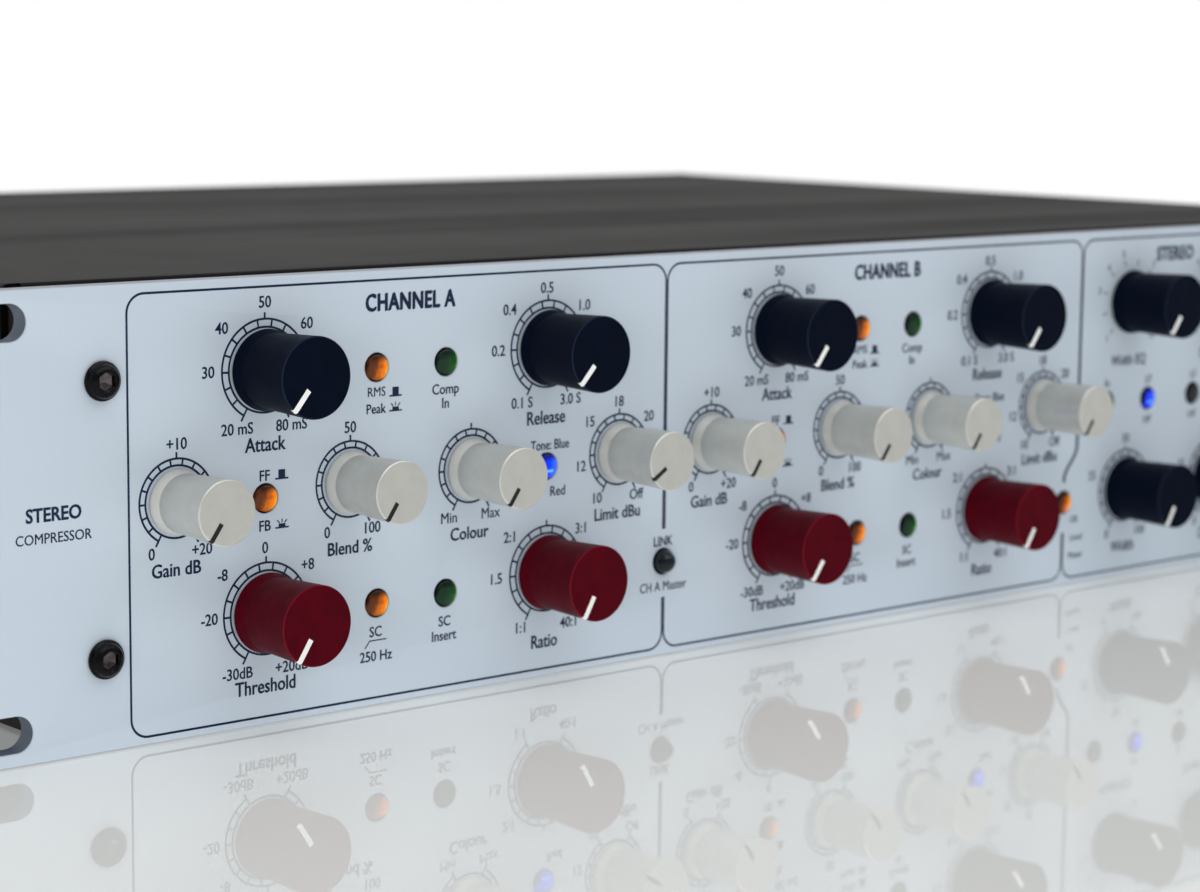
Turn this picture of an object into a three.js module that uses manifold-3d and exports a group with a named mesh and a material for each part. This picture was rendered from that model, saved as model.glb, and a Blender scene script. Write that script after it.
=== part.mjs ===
// Two-channel rack compressor, 2U high, 19 inch panel.
// Units: millimetres. +Z is up, +X is to the right seen from the front, +Y runs to the rear.
// Origin: centre of the unit's footprint, at the height of the panel's bottom edge.
// The controls are laid out from the centre of the panel's front face, and one group moves everything to the origin.
import * as THREE from 'three';
import { mergeVertices } from 'three/addons/utils/BufferGeometryUtils.js';
import Module from 'manifold-3d';

const wasm = await Module();
wasm.setup();

// ---------------------------------------------------------------- driving dimensions
const PANEL_W = 482.6;        // 19 inch rack panel
const PANEL_H = 88.1;         // 2 rack units less the stacking gap
const PANEL_T = 4.8;
const SLOT_X = 232.55;        // rack slot centres
const SLOT_Z = 38.1;
const SLOT_LEN = 10.6;
const SLOT_H = 7.0;
const RELIEF = 0.3;           // milled relief on the panel's back, behind the chassis
const BODY_W = 440.0;         // width over the cover
const BODY_TOP = 43.1;
const BODY_BOTTOM = -43.0;
const BODY_BACK = 312.5;      // outer face of the rear panel
const SHEET = 1.5;
const GAP = 0.3;              // clearance between neighbouring pieces
const COVER_FRONT = 22.0;     // the cover starts this far behind the panel's face

const ROW = [26.0, 2.1, -21.8];                   // knob rows
const BUTTON_DROP = 1.3;                          // button centres sit this much under the knob rows
const CH_PITCH = 138.8;                           // channel B is channel A moved right
const COL = { gain: -195.7, attack: -175.4, blend: -155.1, colour: -124.5, release: -104.1, limit: -83.9 };

const KNOB_L = { skirt: 8.0, waist: 7.55, front: 7.98, chamfer: 0.5 };   // large knob radii
const KNOB_S = { skirt: 6.4, waist: 6.0, front: 6.35, chamfer: 0.45 };   // small knob radii
const KNOB_H = 17.4;          // front of the knob above the panel
const KNOB_LIFT = 0.5;        // air under the skirt
const SHAFT_R = 3.0;
const SHAFT_HOLE_R = 3.5;
const SHAFT_END = 11.5;       // how far the shaft reaches behind the panel's face
const POT_FRONT = 12.0;
const BOARD_Y = 21.0;         // front face of the control board
const BOARD_T = 1.6;

const BUTTON_R = 2.6;
const BUTTON_HOLE_R = 2.95;
const BUTTON_IN = 0.7;        // cap front when latched in, above the panel's face
const BUTTON_OUT = 2.9;       // cap front when released
const BUTTON_LEN = 10.4;      // cap and plunger, front to back

const REAR_REACH = 5.5;       // the rear sockets stand out this far behind the rear panel

// ---------------------------------------------------------------- control layout
const knobs = [];             // [name, x, z, size, pointer angle in degrees, 0 = up, clockwise positive]
const buttons = [];           // [name, x, z, latched in]
// pointer directions at rest, knob by knob: the knobs are clamped on their shafts by hand, so they differ a little
const POINT = {
  a: { attack: -141, release: -138, gain: -145, blend: -146, colour: -145, limit: -124, threshold: -147, ratio: -150 },
  b: { attack: -143, release: -144, gain: -147, blend: -145, colour: -148, limit: -146, threshold: -145, ratio: -148 },
};
for (const [ch, dx] of [['a', 0], ['b', CH_PITCH]]) {
  knobs.push(
    [`knob_attack_${ch}`, COL.attack + dx, ROW[0], 'L', POINT[ch].attack, 0x0d1420],
    [`knob_release_${ch}`, COL.release + dx, ROW[0], 'L', POINT[ch].release, 0x0d1420],
    [`knob_gain_${ch}`, COL.gain + dx, ROW[1], 'S', POINT[ch].gain, 0xb5b5b0],
    [`knob_blend_${ch}`, COL.blend + dx, ROW[1], 'S', POINT[ch].blend, 0xb5b5b0],
    [`knob_colour_${ch}`, COL.colour + dx, ROW[1], 'S', POINT[ch].colour, 0xb5b5b0],
    [`knob_limit_${ch}`, COL.limit + dx, ROW[1], 'S', POINT[ch].limit, 0xb5b5b0],
    [`knob_threshold_${ch}`, COL.attack + dx, ROW[2], 'L', POINT[ch].threshold, 0x420d17],
    [`knob_ratio_${ch}`, COL.release + dx, ROW[2], 'L', POINT[ch].ratio, 0x420d17],
  );
  const mid = (COL.attack + COL.release) / 2 + dx;
  buttons.push(
    [`button_detector_${ch}`, mid - 8.75, ROW[0] - BUTTON_DROP, true, 0xd8742a],
    [`button_comp_in_${ch}`, mid + 8.75, ROW[0] - BUTTON_DROP, true, 0x3fc06a],
    [`button_feedback_${ch}`, COL.attack + dx, ROW[1] - BUTTON_DROP, true, 0xd8742a],
    [`button_tone_${ch}`, COL.release + dx, ROW[1] - BUTTON_DROP, true, 0x2a3cf0],
    [`button_sc_filter_${ch}`, mid - 8.75, ROW[2] - BUTTON_DROP - 0.1, true, 0xd8742a],
    [`button_sc_insert_${ch}`, mid + 8.75, ROW[2] - BUTTON_DROP - 0.1, true, 0x3fc06a],
  );
}
knobs.push(
  ['knob_width_eq', 88.0, ROW[0], 'L', -144, 0x0d1420],
  ['knob_width_level', 88.0, ROW[2], 'L', -149, 0x0d1420],
  ['knob_depth_eq', 124.0, ROW[0], 'L', -143, 0x0d1420],
  ['knob_depth_level', 124.0, ROW[2], 'L', -147, 0x0d1420],
);
buttons.push(
  ['button_link', -70.6, ROW[2] - BUTTON_DROP - 0.1, false, 0x14181c],
  ['button_meter_select', 64.4, ROW[2] - BUTTON_DROP - 0.1, true, 0xd8742a],
  ['button_stereo_in', 80.0, ROW[1] - BUTTON_DROP, true, 0x2f8a52],
  ['button_width_freq', 96.4, ROW[1] - BUTTON_DROP, true, 0x2a3cf0],
  ['button_depth_freq', 114.8, ROW[1] - BUTTON_DROP, true, 0x16343c],
  ['button_depth_in', 131.2, ROW[1] - BUTTON_DROP, true, 0x16343c],
  ['button_power', 190.0, -27.0, true, 0x2a3cf0],
);

const METER_X = [149.0, 160.0, 174.0, 185.0];     // four bar displays
const METER_W = 4.0;
const METER_Z0 = -9.0;
const METER_Z1 = 29.0;
const FRONT_SCREW = [[-211.8, 26.3], [-211.8, -26.3], [211.8, 26.3], [211.8, -26.3]];

// rear connectors: centre x, centre z
const XLR = { xlr_in_a: [-182, 10], xlr_out_a: [-146, 10], xlr_in_b: [-92, 10], xlr_out_b: [-56, 10] };
const JACKS = [[-10, 10], [20, 10]];
const INLET = [176, -8];

// ---------------------------------------------------------------- helpers
// A closed three.js geometry becomes a solid that can be joined and cut.
function solid(geometry) {
  const g = geometry.clone();
  g.deleteAttribute('normal');
  g.deleteAttribute('uv');
  let m = mergeVertices(g, 1e-4);
  const p = m.attributes.position.array;
  const idx = Uint32Array.from(m.index.array);
  const keep = [];
  let vol = 0;
  for (let i = 0; i < idx.length; i += 3) {
    const [a, b, c] = [idx[i], idx[i + 1], idx[i + 2]];
    if (a === b || b === c || a === c) continue;
    keep.push(a, b, c);
    const [ax, ay, az, bx, by, bz, cx, cy, cz] = [p[3 * a], p[3 * a + 1], p[3 * a + 2],
      p[3 * b], p[3 * b + 1], p[3 * b + 2], p[3 * c], p[3 * c + 1], p[3 * c + 2]];
    vol += ax * (by * cz - bz * cy) + ay * (bz * cx - bx * cz) + az * (bx * cy - by * cx);
  }
  if (vol < 0) for (let i = 0; i < keep.length; i += 3) [keep[i], keep[i + 1]] = [keep[i + 1], keep[i]];
  return new wasm.Manifold(new wasm.Mesh({
    numProp: 3, vertProperties: Float32Array.from(p), triVerts: Uint32Array.from(keep),
  }));
}

function box(x0, x1, y0, y1, z0, z1) {
  const g = new THREE.BoxGeometry(x1 - x0, y1 - y0, z1 - z0);
  g.translate((x0 + x1) / 2, (y0 + y1) / 2, (z0 + z1) / 2);
  return solid(g);
}

// Cylinder with its axis along Y.
function cylY(x, z, r, y0, y1, n = 24) {
  const g = new THREE.CylinderGeometry(r, r, y1 - y0, n);
  g.translate(0, (y0 + y1) / 2, 0);
  const m = solid(g);
  const out = m.translate([x, 0, z]);
  return out;
}

// Cylinder with its axis along Z.
function cylZ(x, y, r, z0, z1, n = 24) {
  const g = new THREE.CylinderGeometry(r, r, z1 - z0, n);
  g.rotateX(Math.PI / 2);
  g.translate(x, y, (z0 + z1) / 2);
  return solid(g);
}

// Turned piece about the Y axis: points are [radius, y].
function turned(points, n, x = 0, z = 0) {
  const g = new THREE.LatheGeometry(points.map(([r, y]) => new THREE.Vector2(r, y)), n);
  g.translate(x, 0, z);
  return solid(g);
}

function geometryOf(m) {
  const out = m.getMesh();
  const n = out.vertProperties.length / out.numProp;
  const pos = new Float32Array(n * 3);
  for (let i = 0; i < n; i++) {
    for (let k = 0; k < 3; k++) pos[3 * i + k] = out.vertProperties[i * out.numProp + k];
  }
  const g = new THREE.BufferGeometry();
  g.setAttribute('position', new THREE.BufferAttribute(pos, 3));
  g.setIndex(Array.from(out.triVerts));
  g.computeVertexNormals();
  return g;
}

const compressor = new THREE.Group();
compressor.position.set(0, -(BODY_BACK + REAR_REACH - KNOB_H) / 2, PANEL_H / 2);
function place(name, m, color, roughness, metalness, parent = compressor) {
  const mesh = new THREE.Mesh(geometryOf(m), new THREE.MeshStandardMaterial({ color, roughness, metalness }));
  mesh.name = name;
  parent.add(mesh);
  return mesh;
}

// Plate in the XZ plane from a shape, thick along +Y.
function plate(shape, y0, t) {
  const g = new THREE.ExtrudeGeometry(shape, { depth: t, bevelEnabled: false });
  g.rotateX(Math.PI / 2);           // shape's y goes to +Z, depth goes to -Y
  g.translate(0, y0 + t, 0);
  return solid(g);
}

// Outlines are lists of points, without a repeated end point.
const P = (x, y) => new THREE.Vector2(x, y);

function outline(points) {
  return new THREE.Shape(points.map(([x, y]) => P(x, y)));
}

function obround(x, z, len, h, n = 6) {
  const r = h / 2, pts = [];
  for (let i = 0; i <= n; i++) {
    const a = -Math.PI / 2 + Math.PI * i / n;
    pts.push(P(x + len / 2 - r + r * Math.cos(a), z + r * Math.sin(a)));
  }
  for (let i = 0; i <= n; i++) {
    const a = Math.PI / 2 + Math.PI * i / n;
    pts.push(P(x - len / 2 + r + r * Math.cos(a), z + r * Math.sin(a)));
  }
  return new THREE.Shape(pts);
}

// ---------------------------------------------------------------- front panel
{
  const w = PANEL_W / 2, h = PANEL_H / 2, c = 0.8;
  const s = outline([[-w + c, -h], [w - c, -h], [w, -h + c], [w, h - c], [w - c, h], [-w + c, h], [-w, h - c], [-w, -h + c]]);
  let m = plate(s, 0, PANEL_T);
  for (const sx of [-1, 1]) for (const sz of [-1, 1]) m = m.subtract(plate(obround(sx * SLOT_X, sz * SLOT_Z, SLOT_LEN, SLOT_H), -1, PANEL_T + 2));
  for (const x of METER_X) m = m.subtract(box(x - METER_W / 2, x + METER_W / 2, -1, PANEL_T + 1, METER_Z0, METER_Z1));
  for (const k of knobs) m = m.subtract(cylY(k[1], k[2], SHAFT_HOLE_R, -1, PANEL_T + 1, 12));
  for (const b of buttons) m = m.subtract(cylY(b[1], b[2], BUTTON_HOLE_R, -1, PANEL_T + 1, 16));
  for (const [x, z] of FRONT_SCREW) m = m.subtract(cylY(x, z, 2.3, -1, PANEL_T + 1, 12));
  m = m.subtract(box(-BODY_W / 2 - 0.6, BODY_W / 2 + 0.6, PANEL_T - RELIEF, PANEL_T + 1, -50, 50));
  place('front_panel', m, 0xb8c2d0, 0.45, 0.35);
}

// ---------------------------------------------------------------- chassis tray
// Folded tray: floor, two sides, a front frame with a top flange, and a rear joggle for the rear panel.
const TRAY_X = BODY_W / 2 - SHEET - GAP;          // outside of the tray's sides
const TRAY_Y0 = PANEL_T + GAP;
{
  const zt = BODY_TOP - SHEET - GAP;              // top of the tray's sides
  const y1 = BODY_BACK - SHEET - GAP;             // the rear panel closes behind this
  let m = box(-TRAY_X, TRAY_X, TRAY_Y0, y1, BODY_BOTTOM, zt);
  m = m.subtract(box(-TRAY_X + SHEET, TRAY_X - SHEET, TRAY_Y0 + SHEET, y1 + 5, BODY_BOTTOM + SHEET, zt + 5));
  // window in the front frame for the controls
  m = m.subtract(box(-206.5, 206.5, TRAY_Y0 - 1, TRAY_Y0 + SHEET + 1, -36, 36));
  // the front frame's top flange, set below the cover so that the cover's lip can hang in front of it
  m = m.subtract(box(-TRAY_X - 1, TRAY_X + 1, TRAY_Y0 - 1, TRAY_Y0 + SHEET + 1, 38.5, zt + 5));
  m = m.add(box(-TRAY_X + SHEET / 2, TRAY_X - SHEET / 2, TRAY_Y0, COVER_FRONT - 2.5, 37.2, 38.5));
  // screw bosses that take the four front screws
  for (const [x, z] of FRONT_SCREW) m = m.subtract(cylY(x, z, 2.3, TRAY_Y0 - 1, TRAY_Y0 + SHEET + 0.5, 12));
  // cooling slots in both sides
  for (const sx of [-1, 1]) for (let i = 0; i < 9; i++) {
    const y = 90 + i * 14;
    m = m.subtract(box(sx * TRAY_X - 3, sx * TRAY_X + 3, y, y + 4, -22, 22));
  }
  place('chassis_tray', m, 0x4a4745, 0.5, 0.4);
}

// ---------------------------------------------------------------- top cover
{
  const w = BODY_W / 2, c = 1.0;
  // folded section across the unit: flat top, lips down both sides
  const s = outline([[-w, BODY_TOP - 13], [-w, BODY_TOP - c], [-w + c * 0.3, BODY_TOP - c * 0.3], [-w + c, BODY_TOP],
    [w - c, BODY_TOP], [w - c * 0.3, BODY_TOP - c * 0.3], [w, BODY_TOP - c], [w, BODY_TOP - 13],
    [w - SHEET, BODY_TOP - 13], [w - SHEET, BODY_TOP - SHEET], [-w + SHEET, BODY_TOP - SHEET], [-w + SHEET, BODY_TOP - 13]]);
  let m = plate(s, COVER_FRONT, BODY_BACK - COVER_FRONT - SHEET - GAP);
  // front lip folded down, with a rounded bend
  m = m.add(box(-w + 4, w - 4, COVER_FRONT - 1.2, COVER_FRONT + 0.3, BODY_TOP - 5.5, BODY_TOP - 0.9));
  m = m.add(box(-w + 4, w - 4, COVER_FRONT - 0.6, COVER_FRONT + 0.3, BODY_TOP - 1.2, BODY_TOP - 0.3));
  place('top_cover', m, 0x4b4744, 0.5, 0.35);
}

// ---------------------------------------------------------------- rear panel
{
  const w = BODY_W / 2;
  const s = outline([[-w, BODY_BOTTOM], [w, BODY_BOTTOM], [w, BODY_TOP], [-w, BODY_TOP]]);
  let m = plate(s, BODY_BACK - SHEET, SHEET);
  m = m.subtract(box(INLET[0] - 13.8, INLET[0] + 13.8, BODY_BACK - 5, BODY_BACK + 1, INLET[1] - 16.3, INLET[1] + 16.3));
  for (let i = 0; i < 12; i++) {
    const x = 62 + i * 7;
    m = m.subtract(box(x, x + 3, BODY_BACK - 5, BODY_BACK + 1, -24, 24));
  }
  for (const [x, z] of Object.values(XLR)) m = m.subtract(cylY(x, z, 12.1, BODY_BACK - SHEET - 1, BODY_BACK + 1, 24));
  for (const [x, z] of JACKS) m = m.subtract(cylY(x, z, 4.9, BODY_BACK - SHEET - 1, BODY_BACK + 1, 16));
  place('rear_panel', m, 0x3c3a38, 0.55, 0.35);
}

// ---------------------------------------------------------------- front screws: socket button heads
FRONT_SCREW.forEach(([x, z], i) => {
  const R = 3.8;
  let m = turned([[0, -2.3], [1.9, -2.2], [3.0, -1.75], [3.6, -1.05], [R, -GAP], [2.0, -GAP], [2.0, PANEL_T + SHEET + 4], [0, PANEL_T + SHEET + 4]], 18, x, z);
  m = m.subtract(turned([[0, -4], [1.35, -4], [1.35, -0.9], [0, -0.9]], 6, x, z));
  place(['front_screw_left_top', 'front_screw_left_bottom', 'front_screw_right_top', 'front_screw_right_bottom'][i], m, 0x15171b, 0.35, 0.8);
});

// ---------------------------------------------------------------- knobs with their shafts
const KNOB_SIDES = 16;
for (const [name, x, z, size, pointer, color] of knobs) {
  const k = size === 'L' ? KNOB_L : KNOB_S;
  const f = -KNOB_H;
  let m = turned([
    [0, f], [k.front - k.chamfer, f], [k.front, f + k.chamfer],
    [k.waist, -3.3], [k.skirt, -1.5], [k.skirt, -KNOB_LIFT],
    [SHAFT_R, -KNOB_LIFT], [SHAFT_R, SHAFT_END], [0, SHAFT_END],
  ], KNOB_SIDES);
  // pointer groove from half radius out over the rim
  const groove = box(-0.4, 0.4, f - 1, f + 0.35, k.front * 0.49, k.front + 1);
  const a = pointer * Math.PI / 180;
  // clockwise seen from the front is a right-handed turn about +Y
  m = m.subtract(groove.rotate([0, pointer, 0]));
  m = m.translate([x, 0, z]);
  place(name, m, color, 0.42, 0.55);
}

// ---------------------------------------------------------------- push buttons: cap and plunger
for (const [name, x, z, latched, color] of buttons) {
  const y0 = -(latched ? BUTTON_IN : BUTTON_OUT);
  const m = turned([
    [0, y0], [BUTTON_R * 0.72, y0 + 0.25], [BUTTON_R, y0 + 1.1],
    [BUTTON_R, y0 + BUTTON_LEN], [0, y0 + BUTTON_LEN],
  ], 14, x, z);
  place(name, m, color, 0.3, 0.0);
}

// ---------------------------------------------------------------- control board: pots and switch bodies soldered to it
{
  let m = box(-200, 140, BOARD_Y, BOARD_Y + BOARD_T, -33, 34);
  for (const k of knobs) {
    m = m.add(box(k[1] - 5.2, k[1] + 5.2, POT_FRONT, BOARD_Y + 0.3, k[2] - 5.2, k[2] + 5.2));
  }
  for (const b of buttons) {
    if (b[0] === 'button_power') continue;
    m = m.add(box(b[1] - 3.2, b[1] + 3.2, 14.0, BOARD_Y + 0.3, b[2] - 3.2, b[2] + 3.2));
  }
  // row of edge connectors at the back of the board
  for (let i = 0; i < 6; i++) m = m.add(box(-180 + i * 55, -155 + i * 55, BOARD_Y + 1.3, BOARD_Y + 9, -6, 2));
  place('control_board', m, 0x1f4a35, 0.6, 0.1);
}

// ---------------------------------------------------------------- meter module: four bar displays and the power switch on one small board
{
  let m = box(144, 200, 10, 11.6, -34, 34);
  for (const x of METER_X) m = m.add(box(x - METER_W / 2 + GAP, x + METER_W / 2 - GAP, 0.35, 10.3, METER_Z0 + GAP, METER_Z1 - GAP));
  m = m.subtract(box(185, 195, 9, 13, -32, -22));
  m = m.add(box(184, 196, 13.9, 20, -33, -21));
  m = m.add(box(184, 185.5, 11.3, 14.2, -33, -21));
  m = m.add(box(194.5, 196, 11.3, 14.2, -33, -21));
  place('meter_module', m, 0x16181c, 0.35, 0.0);
}

// ---------------------------------------------------------------- main board: audio and supply stages
{
  let m = box(-200, 70, 60, 290, -33, -31.4);
  // four stand-offs down to the floor
  for (const x of [-190, 60]) for (const y of [70, 280]) m = m.add(cylZ(x, y, 3, BODY_BOTTOM + SHEET + GAP, -32, 8));
  // transformer-coupled inputs and outputs: four shielded cans
  for (const x of [-176, -140, -88, -52]) m = m.add(box(x - 12, x + 12, 232, 262, -31.6, -6));
  // regulator heatsink
  m = m.add(box(20, 62, 120, 123, -31.6, 4));
  for (let i = 0; i < 5; i++) m = m.add(box(22 + i * 8.5, 24.4 + i * 8.5, 122.8, 134, -31.6, 4));
  // reservoir capacitors
  for (const y of [160, 184, 208]) m = m.add(cylZ(44, y, 9, -31.6, -2, 12));
  for (const y of [100, 140, 180]) for (const x of [-150, -80]) m = m.add(box(x, x + 34, y, y + 10, -31.6, -26));
  place('main_board', m, 0x1f4a35, 0.6, 0.1);
}

// ---------------------------------------------------------------- mains transformer: wound ring with its clamping disc and bolt
{
  const cx = 145, cy = 120, z0 = BODY_BOTTOM + SHEET + GAP;
  const g = new THREE.LatheGeometry([[0, 0], [44, 0], [50, 6], [50, 36], [44, 42], [30, 42], [30, 45], [6, 45], [6, 50], [0, 50]].map(([r, y]) => new THREE.Vector2(r, y)), 28);
  g.rotateX(Math.PI / 2);
  g.translate(cx, cy, z0);
  place('mains_transformer', solid(g), 0xb9882f, 0.5, 0.1);
}

// ---------------------------------------------------------------- rear connectors
// Flanged three-pole sockets; inputs are female with a release tab, outputs are male with pins in a cup.
const FLANGE_Y0 = BODY_BACK + GAP;
for (const [name, [x, z]] of Object.entries(XLR)) {
  let m = box(x - 13, x + 13, FLANGE_Y0, FLANGE_Y0 + 2.2, z - 15.5, z + 15.5);
  m = m.add(cylY(x, z, 11.8, BODY_BACK - 22, FLANGE_Y0 + 1, 24));
  for (const s of [-1, 1]) m = m.add(turned([[0, FLANGE_Y0 + 3.2], [1.6, FLANGE_Y0 + 3.1], [2.7, FLANGE_Y0 + 2], [0, FLANGE_Y0 + 2]], 10, x + s * 9.5, z - s * 12));
  if (name.includes('_in_')) {
    m = m.add(cylY(x, z, 10.6, FLANGE_Y0, FLANGE_Y0 + 3.4, 24));
    // three contact sockets
    for (const [dx, dz] of [[-3.5, 1.6], [3.5, 1.6], [0, -3.6]]) m = m.subtract(cylY(x + dx, z + dz, 1.5, FLANGE_Y0 - 8, FLANGE_Y0 + 8, 10));
    // slot for the release tab
    m = m.subtract(box(x - 3.5, x + 3.5, FLANGE_Y0 - 6, FLANGE_Y0 + 8, z + 6.4, z + 11.6));
  } else {
    m = m.subtract(cylY(x, z, 9.4, FLANGE_Y0 - 14, FLANGE_Y0 + 8, 24));
    for (const [dx, dz] of [[-3.5, 1.6], [3.5, 1.6], [0, -3.6]]) m = m.add(cylY(x + dx, z + dz, 1.1, FLANGE_Y0 - 15, FLANGE_Y0 - 1, 8));
  }
  place(name, m, 0x1a1b1d, 0.4, 0.5);
}
for (const ch of ['a', 'b']) {
  const [x, z] = XLR[`xlr_in_${ch}`];
  let m = box(x - 3.1, x + 3.1, FLANGE_Y0 - 2.5, BODY_BACK + REAR_REACH, z + 6.8, z + 11.2);
  m = m.subtract(box(x - 4, x + 4, FLANGE_Y0 + 4.2, FLANGE_Y0 + 6, z + 6, z + 8.6));
  place(`xlr_release_tab_${ch}`, m, 0x8f9296, 0.35, 0.8);
}
{
  // side-chain insert jacks on their small board
  let m = box(-22, 32, BODY_BACK - 30, BODY_BACK - 28.4, -4, 24);
  for (const [x, z] of JACKS) {
    m = m.add(box(x - 8, x + 8, BODY_BACK - 28.6, BODY_BACK - SHEET - GAP, z - 8, z + 8));
    m = m.add(cylY(x, z, 4.6, BODY_BACK - SHEET - 1, BODY_BACK + REAR_REACH, 16));
    m = m.add(cylY(x, z, 6.6, BODY_BACK + GAP, BODY_BACK + 2.6, 6));
    m = m.subtract(cylY(x, z, 3.2, BODY_BACK - 18, BODY_BACK + 8, 12));
  }
  place('insert_jack_board', m, 0x24262a, 0.45, 0.3);
}
{
  // mains inlet with a fuse drawer under the socket
  const [x, z] = INLET;
  let m = box(x - 13.4, x + 13.4, BODY_BACK - 30, FLANGE_Y0 + 1, z - 15.9, z + 15.9);
  m = m.add(box(x - 22, x + 22, FLANGE_Y0, FLANGE_Y0 + 3, z - 17.4, z + 17.4));
  // socket recess with clipped top corners, and its three blades
  const s = outline([[x - 12, z - 3.6], [x + 12, z - 3.6], [x + 12, z + 8], [x + 7, z + 13], [x - 7, z + 13], [x - 12, z + 8]]);
  m = m.subtract(plate(s, FLANGE_Y0 - 15, 25));
  for (const [dx, dz] of [[-7, 3], [7, 3], [0, 7.5]]) m = m.add(box(x + dx - 1, x + dx + 1, FLANGE_Y0 - 16, FLANGE_Y0 - 1, z + dz - 2.4, z + dz + 2.4));
  m = m.subtract(box(x - 11, x + 11, FLANGE_Y0 - 22, FLANGE_Y0 + 8, z - 14.2, z - 6.4));
  for (const sx of [-1, 1]) m = m.add(turned([[0, FLANGE_Y0 + 4.2], [1.7, FLANGE_Y0 + 4.1], [2.9, FLANGE_Y0 + 2.8], [0, FLANGE_Y0 + 2.8]], 10, x + sx * 18, z));
  place('mains_inlet', m, 0x17181a, 0.5, 0.0);

  let d = box(x - 10.6, x + 10.6, FLANGE_Y0 - 20, FLANGE_Y0 + 3.6, z - 13.8, z - 6.8);
  d = d.subtract(box(x - 2.5, x + 2.5, FLANGE_Y0 + 2.2, FLANGE_Y0 + 5, z - 8.6, z - 6));
  place('fuse_drawer', d, 0x1b1c1f, 0.5, 0.0);
}

export default compressor;
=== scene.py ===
"""Looks for the two-channel rack compressor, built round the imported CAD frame.
All sizes below are millimetres measured from the centre of the front panel's face; W() turns them into the frame."""
import math

import bmesh
import bpy
from mathutils import Matrix, Vector
from mathutils.geometry import delaunay_2d_cdt


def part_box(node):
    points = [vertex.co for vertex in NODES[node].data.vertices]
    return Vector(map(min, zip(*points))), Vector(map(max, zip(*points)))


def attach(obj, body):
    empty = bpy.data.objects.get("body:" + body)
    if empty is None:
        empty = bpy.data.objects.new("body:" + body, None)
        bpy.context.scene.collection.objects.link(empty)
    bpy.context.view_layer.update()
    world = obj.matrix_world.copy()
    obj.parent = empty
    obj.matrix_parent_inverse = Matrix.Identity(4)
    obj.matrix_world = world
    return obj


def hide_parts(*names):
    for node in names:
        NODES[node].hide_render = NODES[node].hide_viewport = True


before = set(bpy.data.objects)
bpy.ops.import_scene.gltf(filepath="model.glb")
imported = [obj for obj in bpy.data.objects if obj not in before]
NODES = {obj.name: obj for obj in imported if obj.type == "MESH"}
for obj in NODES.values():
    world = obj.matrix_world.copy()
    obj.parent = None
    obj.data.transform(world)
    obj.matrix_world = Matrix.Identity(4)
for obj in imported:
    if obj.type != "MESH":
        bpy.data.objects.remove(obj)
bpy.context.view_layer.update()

MM = 0.001
_lo, _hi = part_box("front_panel")
FX, FY, FZ = (_lo.x + _hi.x) / 2, _lo.y, (_lo.z + _hi.z) / 2
PANEL_W, PANEL_H, PANEL_T = ((_hi.x - _lo.x) / MM, (_hi.z - _lo.z) / MM, (_hi.y - _lo.y) / MM)


def W(x, y, z):
    return (FX + x * MM, FY + y * MM, FZ + z * MM)


def local_box(node):
    lo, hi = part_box(node)
    return ((lo.x - FX) / MM, (lo.y - FY) / MM, (lo.z - FZ) / MM), ((hi.x - FX) / MM, (hi.y - FY) / MM, (hi.z - FZ) / MM)


def centre(node):
    lo, hi = local_box(node)
    return (lo[0] + hi[0]) / 2, (lo[2] + hi[2]) / 2


# ------------------------------------------------------------------ mesh code
class Build:
    """Vertices in millimetres, faces with a material number."""

    def __init__(self):
        self.v, self.f, self.m = [], [], []

    def add(self, pts):
        base = len(self.v)
        self.v.extend(pts)
        return base

    def face(self, idx, mat=0):
        self.f.append(tuple(idx))
        self.m.append(mat)

    def bridge(self, a, b, n, mat=0, closed=True):
        for i in range(n if closed else n - 1):
            j = (i + 1) % n
            self.face((a + i, a + j, b + j, b + i), mat)

    def fan(self, ring, n, tip, mat=0):
        for i in range(n):
            self.face((ring + i, ring + (i + 1) % n, tip), mat)


def axis_point(axis, u, v, w):
    """u, v lie in the outline's plane, w along the extrusion."""
    if axis == "y":
        return (u, w, v)
    if axis == "x":
        return (w, u, v)
    return (u, v, w)


def circle(cx, cz, r, n=48, a0=0.0):
    return lambda d=0.0: [(cx + (r + d) * math.cos(a0 + 2 * math.pi * i / n), cz + (r + d) * math.sin(a0 + 2 * math.pi * i / n)) for i in range(n)]


def rrect(x0, x1, z0, z1, r, n=6):
    def fn(d=0.0):
        rr = max(r + d, 0.02)
        pts = []
        for cx, cz, a in ((x1 + d - rr, z1 + d - rr, 0), (x0 - d + rr, z1 + d - rr, 90), (x0 - d + rr, z0 - d + rr, 180), (x1 + d - rr, z0 - d + rr, 270)):
            for i in range(n + 1):
                t = math.radians(a + 90 * i / n)
                pts.append((cx + rr * math.cos(t), cz + rr * math.sin(t)))
        return pts
    return fn


def obround(cx, cz, length, h, n=14):
    return rrect(cx - length / 2, cx + length / 2, cz - h / 2, cz + h / 2, h / 2 - 1e-3, n)


def poly(points):
    """Outline from points, offset with mitred corners. Counter-clockwise points grow with a positive offset."""
    area = sum(points[i][0] * points[(i + 1) % len(points)][1] - points[(i + 1) % len(points)][0] * points[i][1] for i in range(len(points)))
    if area < 0:
        points = points[::-1]

    def fn(d=0.0):
        out, n = [], len(points)
        for i in range(n):
            p, q, r = Vector(points[i - 1]), Vector(points[i]), Vector(points[(i + 1) % n])
            a, b = (q - p).normalized(), (r - q).normalized()
            na, nb = Vector((a.y, -a.x)), Vector((b.y, -b.x))
            m = na + nb
            k = 1.0 / max(0.3, 1 + na.dot(nb))
            out.append((q.x + m.x * k * d, q.y + m.y * k * d))
        return out
    return fn


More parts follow.
